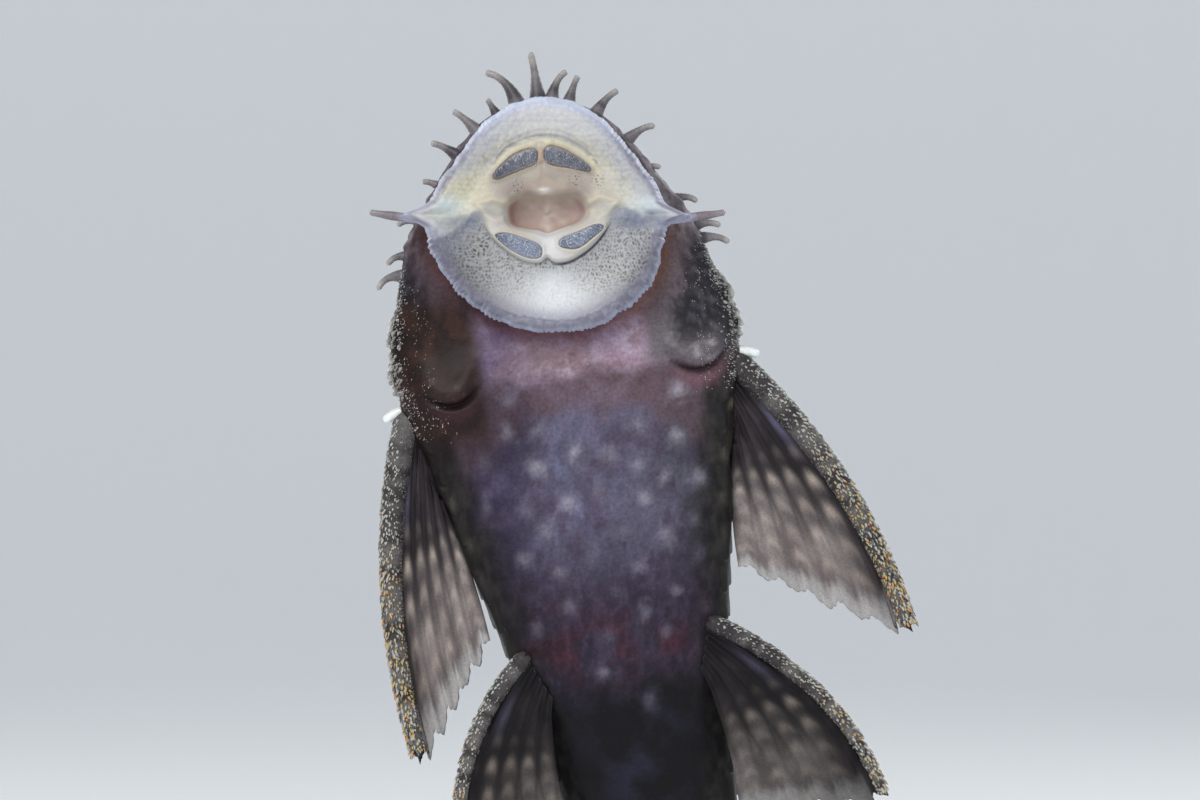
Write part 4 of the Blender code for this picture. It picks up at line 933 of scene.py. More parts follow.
def disc_relief(side, ahead, share, turn):
    """How far the sucker's face stands towards the viewer from its plain profile, and the masks its colours use."""
    marks = {}
    rise = np.zeros(side.shape)
    lower_part = step(-ahead, -0.3, 1.0)
    jaw = ahead - smooth(JAW_EDGE, side)
    inside_jaw = np.clip(5.6 - np.abs(side), 0.0, 0.6) / 0.6 * lower_part
    marks["jaw"] = step(jaw, -0.04, 0.1) * inside_jaw
    rise += 0.45 * step(jaw, -0.08, 0.34) * inside_jaw
    marks["jaw_rim"] = bell(jaw, 0.16, 0.16) * inside_jaw
    deeper = 0.3 + 0.7 * step(side, -0.4, 1.4)
    # The groove under the jaw, deeper to the fish's left, with its shadow painted in.
    marks["jaw_gap"] = bell(jaw, -0.13, 0.12) * inside_jaw * deeper
    rise -= 0.3 * bell(jaw, -0.13, 0.12) * inside_jaw * deeper
    marks["cup_rim"], marks["cup"] = np.zeros(side.shape), np.zeros(side.shape)
    for cups, swell in ((UPPER_CUPS, 0.2), (LOWER_CUPS, 0.0)):
        for sign in (1, -1):
            away = cup_edge(cups[sign], side, ahead)
            rise += 0.16 * bell(away, 0.1, 0.22) - 0.12 * step(-away, -0.05, 0.15)
            rise += swell * bell(np.maximum(away, 0), 0.0, 0.6)
            marks["cup_rim"] = np.maximum(marks["cup_rim"], bell(away, 0.1, 0.2))
            marks["cup"] = np.maximum(marks["cup"], step(-away, -0.02, 0.1))
    arch = ahead - smooth(FOLD_ARCH, side)
    inside_arch = step(-np.abs(side), -4.9, -4.1) * (ahead > 2)
    broken = step(cloud(side * 0.6, ahead * 2, 0.7, 81), -0.8, 0.2)
    marks["arch"] = bell(arch, 0.0, 0.2) * inside_arch * broken
    rise += (-0.13 * bell(arch, 0.05, 0.14) + 0.14 * bell(arch, -0.42, 0.32) + 0.06 * bell(arch, 0.45, 0.4)) * inside_arch
    marks["second_arch"] = bell(arch, 0.5, 0.16) * inside_arch * (1 - 0.6 * broken)
    rise -= 0.08 * marks["second_arch"]
    marks["folds"] = np.zeros(side.shape)
    for fold in CORNER_FOLDS:
        away, _ = line_place(fold, side, ahead)
        marks["folds"] = np.maximum(marks["folds"], bell(away, 0.0, 0.34))
    rise += 0.3 * marks["folds"]
    seam = ahead - smooth(SIDE_SEAM, side)
    beside = step(np.abs(side), 4.2, 5.8)
    wavy = seam + 0.35 * layered(side, ahead, 0.9, 82)
    marks["seam"] = bell(wavy, -0.2, 0.4) * beside
    rise += beside * 0.13 * step(wavy, -0.3, 0.4) * np.exp(-np.maximum(seam, 0) / 1.6)
    marks["upper"] = step(wavy, -0.45, 0.55) * beside + step(ahead, -0.3, 0.6) * (1 - beside)
    field = (1 - marks["upper"]) * (1 - marks["jaw"]) * (1 - marks["folds"])
    swirl = 0.32 * layered(side, ahead, 0.9, 84), 0.32 * layered(side, ahead, 0.8, 86)
    near, following, value = cells(side * 1.08 + swirl[0], ahead * 0.88 + swirl[1], PAPILLA_PITCH, 83)
    shown = (field + 0.3 * marks["upper"]) * step(-share, -0.97, -0.88)
    marks["papilla"] = bell(near, 0.0, 0.4) * shown
    marks["net"] = bell(following - near, 0.0, 0.25) * shown
    marks["papilla_value"] = value
    marks["field"] = field
    coarse, _, _ = cells(side, ahead, 0.62, 85)
    corners = step(np.abs(side), 5.5, 7.5) * step(ahead, -5.0, -2.0) * field
    rise += (0.03 + 0.05 * value) * marks["papilla"] + 0.14 * corners * bell(coarse, 0.0, 0.4)
    fine, _, _ = cells(side, ahead, 0.6, 87)
    rise += 0.05 * bell(fine, 0.0, 0.4) * (1 - field) * (1 - marks["cup"]) * step(share, 0.3, 0.5)
    rise += 0.09 * layered(side, ahead, 1.7, 89) * step(share, 0.1, 0.3)
    # A small raised fold at the top of the mouth, which the colours also use for a painted highlight.
    marks["valve"] = np.exp(-(((side + 0.25) / 0.55) ** 2) - ((ahead - 1.95) / 0.26) ** 2)
    rise += 0.3 * marks["valve"]
    rise += 0.1 * layered(np.radians(turn) * 22, share * 14, 1.0, 90) * step(share, 0.86, 0.93) * step(-share, -1.0, -0.985)
    return rise, marks


def disc_tint(side, ahead, share, marks, turn):
    """Cream upper lip with grey clouds, papillae dotted dark below, a lavender margin with a bluish-white rim, painted
    shade in the grooves, seams and rim and under the jaw, and a painted glint at the mouth.
    """
    upper = marks["upper"]
    band = step(share + 0.05 * layered(side, ahead, 1.1, 92), 0.66, 0.8)
    cream = mix(srgb(208, 205, 194), srgb(182, 183, 187), 0.6 * step(layered(side, ahead, 1.0, 91), -0.2, 0.8))
    cream = mix(cream, srgb(214, 209, 184), 0.55 * step(layered(side, ahead, 2.2, 93), -0.1, 0.7) * (1 - 0.7 * band))
    cream = mix(cream, srgb(186, 188, 200), 0.6 * band)
    worms = step(layered(side + 0.3 * ahead, ahead, 0.5, 95), 0.1, 0.7) * (0.4 + 0.6 * step(cloud(side, ahead, 1.7, 94), -0.4, 0.5))
    cream = mix(cream, srgb(142, 143, 156), 0.44 * worms * bell(share, 0.76, 0.24))
    cream = mix(cream, srgb(214, 208, 172), 0.7 * bell(side + 7.8, 0.0, 2.2) * bell(ahead - 1.6, 0.0, 2.0))
    pebble, _, _ = cells(side + 0.3 * layered(side, ahead, 0.8, 84), ahead, 0.42, 106)
    cream = mix(cream, srgb(140, 142, 152), 0.3 * step(pebble, 0.3, 0.7) * step(share, 0.4, 0.6))
    above_fold = bell(ahead - smooth(FOLD_ARCH, side), 0.9, 0.9) * (ahead > 2)
    cream = mix(cream, srgb(156, 155, 156), 0.25 * above_fold * step(layered(side, ahead, 0.7, 98), -0.5, 0.5))
    cream = mix(cream, srgb(224, 225, 224), 0.42 * bell(side, 0.6, 5.0) * step(ahead, 5.8, 7.2))
    white = mix(srgb(182, 183, 186), srgb(226, 229, 233), bell(side - 0.9, 0, 4.2) * step(-ahead, 3.8, 6.4))
    edge_blue = step(np.abs(side + 0.4), 4.8, 8.0) * step(ahead, -8.0, -2.5)
    edge_blue = edge_blue * (1 - 0.7 * step(side, 2.0, 5.0) * step(-ahead, 0.6, 1.8))
    white = mix(white, srgb(134, 144, 168), 0.85 * edge_blue * (0.8 + 0.2 * layered(side, ahead, 0.9, 88)))
    pale_lobe = np.exp(-(((np.abs(side) - 8.6) / 1.4) ** 2)) * bell(ahead - 0.12 * (9 - np.abs(side)), 0.5, 0.9)
    cream = mix(cream, srgb(214, 226, 230), 0.85 * pale_lobe)
    tint = mix(white, cream, upper)
    close = np.exp(-(((ahead + 3.6) / 3.6) ** 4)) * (1 - 0.9 * np.exp(-(((side - 0.7) / 2.4) ** 2)) * step(-ahead, 4.3, 5.4))
    close = np.clip(close * (1 - 0.32 * edge_blue) + 0.12, 0.0, 1.0)
    close = close * (0.9 + 0.2 * layered(side, ahead, 1.5, 96))
    tint = mix(tint, srgb(158, 156, 152), 0.5 * close * marks["field"])
    tint = mix(tint, srgb(206, 206, 202), 0.25 * close * marks["net"] * marks["field"])
    dots = step(marks["papilla"], 0.2, 0.8) * (0.35 + 0.65 * step(marks["papilla_value"], 0.1, 0.7))
    tint = mix(tint, srgb(76, 76, 84), (0.82 + 0.18 * edge_blue) * dots * np.where(upper > 0.5, 0.3, close))
    tint = mix(tint, srgb(226, 229, 234), 0.5 * dots * (1 - close) * marks["field"])
    # Painted shade: the lower lip darker on the fish's right, and bluish shade by the lips' seams at the sides.
    tint = mix(tint, 0.8 * tint, step(-side, 2.0, 7.0) * marks["field"])
    tint = mix(tint, srgb(98, 106, 130), 0.66 * np.exp(-(((np.abs(side) - 7.4) / 1.6) ** 2)) * bell(ahead, -0.7, 0.75))
    around_mouth = np.exp(-(((side / 5.2) ** 2 + ((ahead - 1.8) / 2.4) ** 2) ** 2))
    tan = mix(srgb(156, 140, 134), srgb(176, 164, 148), step(layered(side, ahead, 1.2, 94), -0.3, 0.6))
    tint = mix(tint, tan, 0.9 * around_mouth * upper)
    tint = mix(tint, srgb(206, 198, 178), 0.8 * marks["folds"])
    tint = mix(tint, srgb(188, 168, 160), 0.7 * bell(side, -0.2, 2.0) * bell(ahead, 2.3, 0.45) * upper)
    # Painted highlight: a near-white glint on the fold at the top of the mouth.
    tint = mix(tint, srgb(240, 238, 233), marks["valve"])
    band = bell(ahead - smooth(FOLD_ARCH, side), -0.45, 0.34) * (np.abs(side) < 4.4) * (ahead > 2)
    tint = mix(tint, srgb(206, 200, 166), 0.6 * band)
    # Painted shade: grey lines in the grooves of the fold arches above the upper cups.
    tint = mix(tint, srgb(128, 128, 138), 0.5 * marks["arch"])
    tint = mix(tint, srgb(134, 132, 144), 0.5 * marks["second_arch"])
    # Painted shade along the seam between the lips.
    tint = mix(tint, srgb(112, 118, 140), 0.3 * marks["seam"])
    tint = mix(tint, mix(srgb(202, 197, 190), srgb(215, 215, 216), bell(side - 0.1, 0, 1.5)), marks["jaw"])
    tint = mix(tint, srgb(200, 188, 162), marks["jaw"] * 0.5 * np.maximum(marks["cup_rim"] - 0.25, 0))
    tint = mix(tint, srgb(218, 214, 206), 0.6 * marks["jaw_rim"])
    # Painted shadow in the groove under the jaw.
    tint = mix(tint, srgb(70, 72, 96), 0.75 * marks["jaw_gap"])
    tint = mix(tint, srgb(176, 156, 132), 0.62 * marks["cup_rim"] * upper)
    tint = mix(tint, srgb(172, 140, 122), 0.8 * bell(side, -0.55, 0.26) * bell(ahead, 4.9, 1.1))
    tint = mix(tint, srgb(96, 98, 110), marks["cup"])
    speckle, _, value = cells(side, ahead, 0.26, 97)
    groups = sum(np.exp(-((side - a) ** 2 + (ahead - b) ** 2) / 0.2) for a, b in ((-2.62, 2.35), (2.4, 2.9), (4.4, 2.9)))
    tint = mix(tint, srgb(80, 64, 46), 0.9 * step(-speckle, -0.4, -0.14) * step(value, 0.15, 0.5) * np.clip(1.8 * groups, 0, 1))
    margin = step(share + 0.02 * layered(np.radians(turn) * 20, share * 7, 1.0, 98), 0.86, 0.93)
    mottle = step(layered(np.radians(turn) * 20, share * 14, 0.8, 99), -0.5, 0.7)
    lavender = mix(srgb(134, 133, 154), srgb(170, 172, 189), mottle)
    crest = step(ahead, 4.5, 8.8)
    lavender = mix(lavender, srgb(208, 213, 234), 0.7 * crest)
    tint = mix(tint, lavender, 0.8 * margin)
    # Painted shade: a darker band inside the lower lip's rim.
    below = step(-ahead, 0.5, 4.0)
    tint = mix(tint, tint * (0.58, 0.57, 0.62), below * bell(share, 0.87, 0.1))
    # Painted shade: deeper still towards both sides of the lower rim.
    side_rim_shade = 0.45 * step(-side, 2.5, 6.0) + 0.3 * step(side, 5.5, 8.0)
    tint = mix(tint, 0.6 * tint, side_rim_shade * below * step(share, 0.86, 0.94))
    # Painted shade: a bluish dark band inside the upper rim, away from its middle and more on the fish's left.
    ring = 0.24 * step(np.abs(side), 1.5, 4.5) + 0.2 * step(side, 5.5, 7.5)
    tint = mix(tint, (0.4, 0.42, 0.5) * tint, ring * bell(share, 0.9, 0.06) * step(ahead, 0.5, 3.0))
    # Painted shade: a dark line in the crease inside the lower rim.
    crease_shade = bell(share + 0.015 * layered(np.radians(turn) * 20, share * 7, 0.7, 108), 0.9, 0.012)
    tint = mix(tint, srgb(112, 107, 128), 0.6 * crease_shade * step(-ahead, 0.0, 4.0))
    rim = mix(srgb(180, 187, 211), srgb(218, 229, 252), crest)
    return 0.9 * mix(tint, rim, 0.75 * step(share, 0.97 - 0.04 * crest, 0.99 - 0.02 * crest) * (0.6 + 0.4 * mottle))


def build_disc():
    """The sucker: the mouth's hollow, both lips with their folds and papillae, a fringed rim, and its back."""
    columns = 900
    turn = np.linspace(-180.0, 180.0, columns, endpoint=False)[None]
    cosine, sine = np.cos(np.radians(turn)), np.sin(np.radians(turn))
    inner, outer = smooth(MOUTH_RADIUS, turn), smooth(RIM_RADIUS, turn)
    low_half = step(-sine, -0.1, 0.25)
    corner = np.minimum(np.abs(turn + 0.6), np.abs(180 - np.abs(turn - 0.6)))
    outer = outer + 2.3 * np.exp(-((corner / 3.6) ** 1.3))
    arc = np.radians(turn) * 10.2
    tooth = 0.5 + 0.5 * np.cos(2 * math.pi * (arc / 0.47 + 0.5 * cloud(arc, arc * 0, 0.8, 100)))
    fringe = tooth * (0.05 + 0.08 * low_half) * (0.7 + 0.7 * cloud(arc, arc * 0, 0.9, 101))
    fringe = fringe + (0.08 + 0.06 * low_half) * layered(arc, arc * 0, 0.8, 102)
    shares = np.linspace(0.0, 1.0, 125)[:, None]
    reach = inner + (outer - inner) * shares + fringe * step(shares, 0.9, 1.0)
    side, ahead = reach * cosine, reach * sine
    rise, marks = disc_relief(side, ahead, shares + 0 * side, turn + 0 * side)
    face_height = smooth(LIP_PROFILE, shares) - rise * step(shares, 0.0, 0.05)
    face = disc_point(side, ahead, face_height)
    face_tint = disc_tint(side, ahead, shares + 0 * side, marks, turn + 0 * side)
    deep = np.array([0.04, 0.2, 0.36, 0.5, 0.62, 0.72, 0.8, 0.86, 0.91, 0.95, 0.98])[:, None]
    depth = np.interp(deep, [0.0, 0.6, 0.85, 0.93, 1.0], [1.25, 1.15, 0.75, 0.2, -0.4])
    seam = 0.22 * bell(inner * deep * cosine, 0.0, 0.35) * (1 - deep)
    pleats = 0.06 * layered(inner * deep * cosine, inner * deep * sine, 0.8, 103)
    hollow_side, hollow_ahead = inner * deep * cosine, inner * deep * sine
    hollow = disc_point(hollow_side, hollow_ahead, depth - seam + pleats)
    corners = step(np.abs(hollow_side), 2.0, 3.4)
    flesh = mix(srgb(186, 170, 160), srgb(166, 146, 138), step(layered(hollow_side, hollow_ahead, 1.4, 105), -0.4, 0.6))
    flesh = mix(flesh, mix(srgb(142, 102, 95), srgb(154, 122, 126), step(hollow_side, -1.0, 2.0)), 0.7 * corners)
    flesh = mix(flesh, srgb(200, 188, 180), 0.5 * bell(hollow_side, 0.0, 0.3))
    flesh = mix(flesh, srgb(200, 188, 172), 0.6 * step(hollow_ahead, 0.4, 1.6) * (1 - corners))
    flesh = mix(flesh, srgb(190, 174, 162), step(deep + 0 * corners, 0.9, 1.0))
    last = outer + fringe
    around = []
    for out, height in ((0.1, -1.0), (0.12, -0.65), (0.04, -0.3), (-0.25, 0.0), (-0.9, 0.25), (-2.2, 0.6), (-3.8, 1.2), (-5.0, 2.1)):
        around.append(disc_point((last + out) * cosine, (last + out) * sine, height))
    rim = np.stack([a[0] for a in around])
    rim_tint = np.stack([srgb(*colour) for colour in (
        (172, 178, 202), (152, 156, 180), (128, 126, 146), (108, 100, 116), (94, 84, 94), (84, 74, 82), (76, 66, 72), (66, 56, 60),
    )])[:, None] * np.ones((1, columns, 1))
    rings = np.concatenate([hollow, face, rim])
    points, faces, unwraps = closed_grid(rings, disc_point(0.0, 0.0, 1.25), disc_point(0.0, 0.0, 2.3))
    tint = np.concatenate([flesh, face_tint, rim_tint]).reshape(-1, 3)
    tint = np.concatenate([tint, flesh[:1, 0], rim_tint[-1:, 0]])
    piece("sucker", points, tint, faces, unwraps, LIP, ("upper_lip", "lower_lip"))


def build_teeth():
    """A pad in each cup, and rows of tiny teeth with pale hooked tips that also stand in as painted glints."""
    rng = np.random.default_rng(7)
    kinds = (
        ("upper", UPPER_CUPS, 0.0, -0.12, srgb(112, 115, 127), srgb(178, 182, 194), 0.75),
        ("lower", LOWER_CUPS, -0.12, 0.12, srgb(140, 149, 170), srgb(230, 234, 240), 0.35),
    )
    for jaw, cups, lift, lean, ground, bright, edge_tan in kinds:
        for sign, name in ((1, "left"), (-1, "right")):
            cup = cups[sign]
            side = np.linspace(cup[0][0], cup[-1][0], 70)[1:-1, None]
            middle, half = cup_lines(cup, side)
            turns = np.linspace(0, 2 * math.pi, 32, endpoint=False)
            across, top = np.cos(turns), np.clip(np.sin(turns), 0.0, 1.0)
            ahead = middle + half * across
            dome = np.where(top > 0, -1.42 + lift - 0.48 * top**0.5 * (half / 0.8) ** 0.3, -1.15)
            dome = dome + 0.04 * cloud(side + 0 * ahead, ahead, 0.3, 107)
            rings = disc_point(side, ahead, dome)
            tint = mix(ground, srgb(150, 156, 172), 0.45 * step(layered(side + 0 * ahead, ahead, 0.8, 109), 0.0, 0.8))
            tint = mix(tint, srgb(156, 138, 118), edge_tan * np.abs(across + 0 * ahead) ** 5)
            outer = step(np.abs(side) + 0 * ahead, 2.6, 4.4)
            tint = mix(tint, 0.62 * ground, 0.55 * outer * edge_tan)
            points, faces, unwraps = closed_grid(rings, rings[0].mean(0), rings[-1].mean(0))
            tint = tint.reshape(-1, 3)
            tint = np.concatenate([tint, tint[:1], tint[-1:]])
            piece(f"{jaw}_cup_{name}", points, tint, faces, unwraps, TOOTH, (f"{jaw}_teeth_{name}",))
            share, row = (v.ravel() for v in np.meshgrid(np.linspace(0.06, 0.94, 18), np.linspace(-0.7, 0.7, 6)))
            share = share + rng.uniform(-0.02, 0.02, len(share))
            row = row + rng.uniform(-0.1, 0.1, len(row))
            side = cup[0][0] + (cup[-1][0] - cup[0][0]) * share
            middle, half = cup_lines(cup, side)
            ahead = middle + half * row
            steps = np.array([0.0, 0.5, 0.85, 1.0])
            paths = np.stack([disc_point(side, ahead + lean * s * s, -1.84 + lift - 0.3 * s) for s in steps], 1)
            radii = np.array([0.045, 0.05, 0.04]) * rng.uniform(0.7, 1.25, (len(side), 1))
            # Pale tooth tips, partly their own colour and partly painted glints.
            paleness = rng.random(len(side)) ** 1.5 * (0.4 + 0.6 * step(-np.abs(side), -4.2, -1.5))
            colours = mix(ground, bright, paleness[:, None] * np.array([0.3, 0.8, 1.0]))
            places = np.stack([share, (row + 1) / 2], 1)
            horn_piece(f"{jaw}_tooth_rows_{name}", paths, radii, 6, colours, places, TOOTH)


# Bristles, eyes and cheeks


def bristle_path(index, root, tip, steps):
    """A curve that leaves the snout's edge squarely and then bends to its tip."""
    root = np.array(root) - (0.35, 0.0)
    tip = root + 1.12 * (np.array(tip) - (0.35, 0.0) - root)
    length = np.linalg.norm(tip - root)
    nose = 1 - root[0] / SNOUT_LENGTH
    out = np.array([-nose / SNOUT_LENGTH, root[1] / HEAD_HALF_WIDTH**2])
    out /= np.linalg.norm(out)
    foot, bend = root - out * 0.9, root + out * length * 0.62
    rest = 1 - steps[:, None]
    path = rest**2 * foot + 2 * rest * steps[:, None] * bend + steps[:, None] ** 2 * tip
    height = float(smooth(WIDEST_HEIGHT, max(root[0], 0.0)))
    return place(path[:, 0], path[:, 1], height - 0.2 + 0.35 * math.sin(2.4 * index) * steps)


def build_bristles():
    """Fleshy bristles on the snout's edge: broad at the foot, with a round tip."""
    steps = np.linspace(0.0, 1.0, 31)
    paths = np.array([bristle_path(k, spec[:2], spec[2:], steps) for k, spec in enumerate(BRISTLES)])
    s = steps[:-1]
    taper = 0.27 + 0.62 * (1 - s) ** 2.6 + 0.02 * np.sin(9 * s)
    taper = taper * np.clip((1.015 - s) / 0.09, 0.0, 1.0) ** 0.5
    lengths = np.array([math.dist(spec[:2], spec[2:]) for spec in BRISTLES])
    size = np.clip(0.74 + 0.1 * lengths, 0.8, 1.1)[:, None]
    radii = size * taper + 0.012 * np.sin(s * 60 + np.arange(len(BRISTLES))[:, None])
    along = np.broadcast_to(s, radii.shape)
    blotch = step(cloud(along * 8, np.arange(len(BRISTLES))[:, None] * 5.0 + along, 1.0, 111), -0.4, 0.6)
    tint = mix(mix(srgb(70, 66, 71), srgb(112, 107, 111), blotch), srgb(178, 173, 171), 0.75 * step(along, 0.3, 1.0))
    places = np.stack([np.linspace(0.05, 0.95, len(BRISTLES)), np.full(len(BRISTLES), 0.5)], 1)
    horn_piece("bristles", paths, radii, 14, tint, places, BRISTLE)


def build_barbels():
    """The fleshy barbel that draws out each corner of the mouth."""
    steps = np.linspace(0.0, 1.0, 31)
    paths, places = [], []
    for hand in (1, -1):
        side = hand * (BARBEL_ROOT + BARBEL_LENGTH * steps)
        paths.append(disc_point(side, -0.45 + 0.64 * steps**2, -0.8 + 0.4 * steps))
        places.append((0.5 + 0.2 * hand, 0.5))
    s = steps[:-1]
    radii = (0.27 + 0.36 * (1 - s) ** 1.6 + 0.07 * bell(s, 0.7, 0.13)) * np.clip((1.015 - s) / 0.05, 0.0, 1.0) ** 0.5
    radii = np.stack([radii, radii])
    tint = mix(srgb(162, 162, 186), srgb(118, 110, 117), step(s, 0.44, 0.66))
    tint = mix(tint, srgb(160, 154, 156), 0.6 * step(s, 0.75, 1.0))
    horn_piece("barbels", np.array(paths), radii, 16, np.stack([tint, tint]), np.array(places), BRISTLE)


def build_eye(sign, name):
    """An eyeball with a flattened glossy front: dark rim, gold-flecked iris, pupil with a lobe of iris from above."""
    side, height = section(EYE_STATION, EYE_ANGLE, -EYE_SINK)
    centre = place(EYE_STATION, sign * side, height)
    axis = on_skin(EYE_STATION, EYE_ANGLE, sign, 1.0) - on_skin(EYE_STATION, EYE_ANGLE, sign)
    axis /= np.linalg.norm(axis)
    up = axes_at(np.float64(EYE_STATION))[2]
    up = up - axis * (up @ axis)
    up /= np.linalg.norm(up)
    aside = np.cross(axis, up)
    polar, turn = np.meshgrid(np.radians(np.linspace(2, 178, 70)), np.linspace(0, 2 * math.pi, 96, endpoint=False), indexing="ij")
    along = np.cos(polar)
    along = np.where(along > 0, along * 0.93, along)
    x, y = np.sin(polar) * np.cos(turn), np.sin(polar) * np.sin(turn)
    rings = centre + EYE_RADIUS * (x[..., None] * aside + y[..., None] * up + along[..., None] * axis)
    degrees = np.degrees(polar)
    lobe = step(-np.hypot(x * 1.25, y - 0.34), -0.26, -0.2)
    pupil = step(-degrees, -25.0, -22.5) * (1 - lobe)
    fibres = cloud(turn * 6, degrees * 0.08, 0.5, 113)
    iris = mix(srgb(70, 52, 34), srgb(168, 132, 72), step(fibres, -0.2, 0.8) * bell(degrees, 32.0, 14.0))
    iris = mix(iris, srgb(190, 158, 96), 0.7 * bell(degrees, 27.0, 2.2))
    tint = mix(iris, srgb(26, 22, 22), step(degrees, 40.0, 52.0))
    tint = mix(tint, srgb(4, 4, 5), pupil)
    points, faces, unwraps = closed_grid(rings, centre + EYE_RADIUS * 0.93 * axis, centre - EYE_RADIUS * axis)
    tint = np.concatenate([tint.reshape(-1, 3), [srgb(4, 4, 5)], [srgb(26, 22, 22)]])
    piece(f"eyeball_{name}", points, tint, faces, unwraps, EYE, (f"eye_{name}",))


def build_cheek(sign, name):
    """Short stout hooked spines in a clump on the cheek, with one long blunt white one behind them."""
    rng = np.random.default_rng(5 + (sign > 0))
    count = 120
    station = CHEEK_STATION + rng.uniform(-4.6, 3.6, count)
    angle = CHEEK_ANGLE - 5.0 + rng.uniform(-19.0, 19.0, count)
    length = 0.14 + 0.3 * rng.random(count)
    thick = 0.12 + 0.08 * rng.random(count)
    stout = np.arange(count) < 22
    station = np.where(stout, 17.6 + 6.2 * (np.arange(count) / 21), station)
    angle = np.where(stout, 90.0 + rng.uniform(-7.0, 7.0, count), angle)
    length, thick = length + 0.28 * stout, thick + 0.15 * stout
    station, angle = np.append(station, WHITE_SPINE[0]), np.append(angle, WHITE_SPINE[1])
    length, thick = np.append(length, WHITE_SPINE[2]), np.append(thick, WHITE_SPINE[3])
    hook, taper = np.append(np.ones(count), 0.45), np.append(np.full(count, 0.5), 0.22)
    foot = skin_relief(station, station, angle, sign) - 0.12
    steps = np.linspace(0.0, 1.0, 12)
    path = []
    for share in steps:
        side, height = section(station, angle, foot + (length + 0.12) * (0.95 * share - 0.35 * hook * share**2))
        path.append(place(station + length * hook * (0.3 * share + 0.45 * share**2), sign * side, height))
    paths = np.stack(path, 1)
    rounded = np.clip((1.02 - steps[:-1]) / 0.2, 0.0, 1.0) ** 0.5
    radii = thick[:, None] * (1 - taper[:, None] * steps[:-1] ** 1.4) * rounded
    pale = np.append(0.2 + 0.45 * rng.random(count) + 0.35 * stout, 1.0)
    tint = mix(srgb(46, 44, 45), srgb(206, 204, 196), pale[:, None] * (0.15 + 0.85 * steps[:-1]))
    tint[-1] = mix(srgb(214, 218, 214), srgb(238, 243, 243), steps[:-1])
    where = skin_place(station, angle, np.full(count + 1, sign))
    horn_piece(f"cheek_spines_{name}", paths, radii, 10, tint, where, ODONTODE, (f"cheek_{name}",))


def build_granules(sign, name):
    """Tiny pale points strewn over the cheek, the gill cover and the shoulder, and darker ones over the head."""
    rng = np.random.default_rng(11 + (sign > 0))
    station, angle = rng.uniform(12.0, 29.0, 5200), rng.uniform(34.0, 118.0, 5200)
    width, _ = section(station, angle)
    start = 12.2 - 0.35 * np.clip(station - 14.7, 0.0, 6.0) - 1.2 * step(station, 21.0, 24.0)
    density = step(width, start - 0.4, start + 2.2) * step(station, 12.0, 14.5) * step(-station, -29.0, -26.5)
    patches = 0.12 + 0.88 * step(layered(station, angle * 0.25, 1.4, 117) + 0.5 * bell(station, 16.5, 2.2), 0.0, 0.6)
    patches = patches * (1 - 0.7 * bell(station, 21.0, 2.4) * step(-angle, -88.0, -76.0))
    clear = np.hypot(station - WHITE_SPINE[0] - 0.6, (angle - WHITE_SPINE[1]) * 0.25) > 1.2
    keep = (rng.random(len(station)) < density * patches) & clear
    station, angle = station[keep], angle[keep]
    size = (0.45 + 0.85 * rng.random(len(station)) ** 2) * (0.75 + 0.25 * step(angle, 60.0, 85.0))
    pale = rng.uniform(0.1, 0.9, len(station))[:, None] * np.array([0.5, 0.9, 1.0])
    granules(f"cheek_granules_{name}", station, angle, sign, size, mix(srgb(70, 67, 69), srgb(208, 207, 204), pale))
    station, angle = rng.uniform(2.5, 27.5, 3400), 180 - 78 * rng.random(3400) ** 0.8
    eye = on_skin(EYE_STATION, EYE_ANGLE, sign)
    keep = np.linalg.norm(on_skin(station, angle, sign) - eye, axis=-1) > 3.0
    station, angle = station[keep], angle[keep]
    tint = odontode_tint(station, angle, np.full(len(station), sign), 3, rng.uniform(0.05, 0.4, len(station)))
    granules(f"head_granules_{name}", station, angle, sign, rng.uniform(0.6, 1.1, len(station)), tint)


def granules(name, station, angle, sign, size, tint):
    """Low points of these sizes, leaning towards the tail."""
    foot = skin_relief(station, station, angle, sign)
    steps = np.linspace(0.0, 1.0, 4)
    path = []
    for share in steps:
        side, height = section(station, angle, foot - 0.05 + 0.2 * size * share)
        path.append(place(station + 0.12 * size * share**2, sign * side, height))
    radii = 0.062 * size[:, None] * np.array([1.0, 0.85, 0.5])
    where = skin_place(station, angle, np.full(len(station), sign))
    horn_piece(name, np.stack(path, 1), radii, 5, tint, where, ODONTODE)


# Fins


def spread(first, last, count, power=1.0):
    """Values from first to last, for each of count rays."""
    return [np.array(first) + (np.array(last) - np.array(first)) * (k / (count - 1)) ** power for k in range(count)]


def pectoral_rays(sign, spine_tip, last_tip):
    roots = []
    for k in range(7):
        station, height = PECTORAL_ROOT + 0.95 * k, 3.4 - 0.1 * k
        roots.append(np.array((station, sign * (flank(station, height) + PLATE_RISE + 1.4 * GAP), height)))
    second = (spine_tip[0] + 0.4, spine_tip[1] * 0.955, spine_tip[2] + 0.3)
    tips = [np.array(spine_tip)] + spread(second, last_tip, 6, 0.92)
    return roots, tips, spread((-0.6, sign * 1.9, 0.3), (0.2, sign * -0.4, 0.6), 7)


def pelvic_rays(sign):
    reach = 19.5 + sign
    roots = spread((PELVIC_ROOT, sign * 9.1, -0.55), (PELVIC_ROOT + 4.2, sign * 6.9, -0.85), 6)
    tips = [np.array((68.4, sign * reach, 0.6))]
    tips += spread((69.3, sign * (reach - 1.7), 0.4), (65.6, sign * 7.4, -1.9), 5)
    return roots, tips, spread((-1.2, sign * 2.2, 0.2), (0.0, sign * 0.5, -0.5), 6)


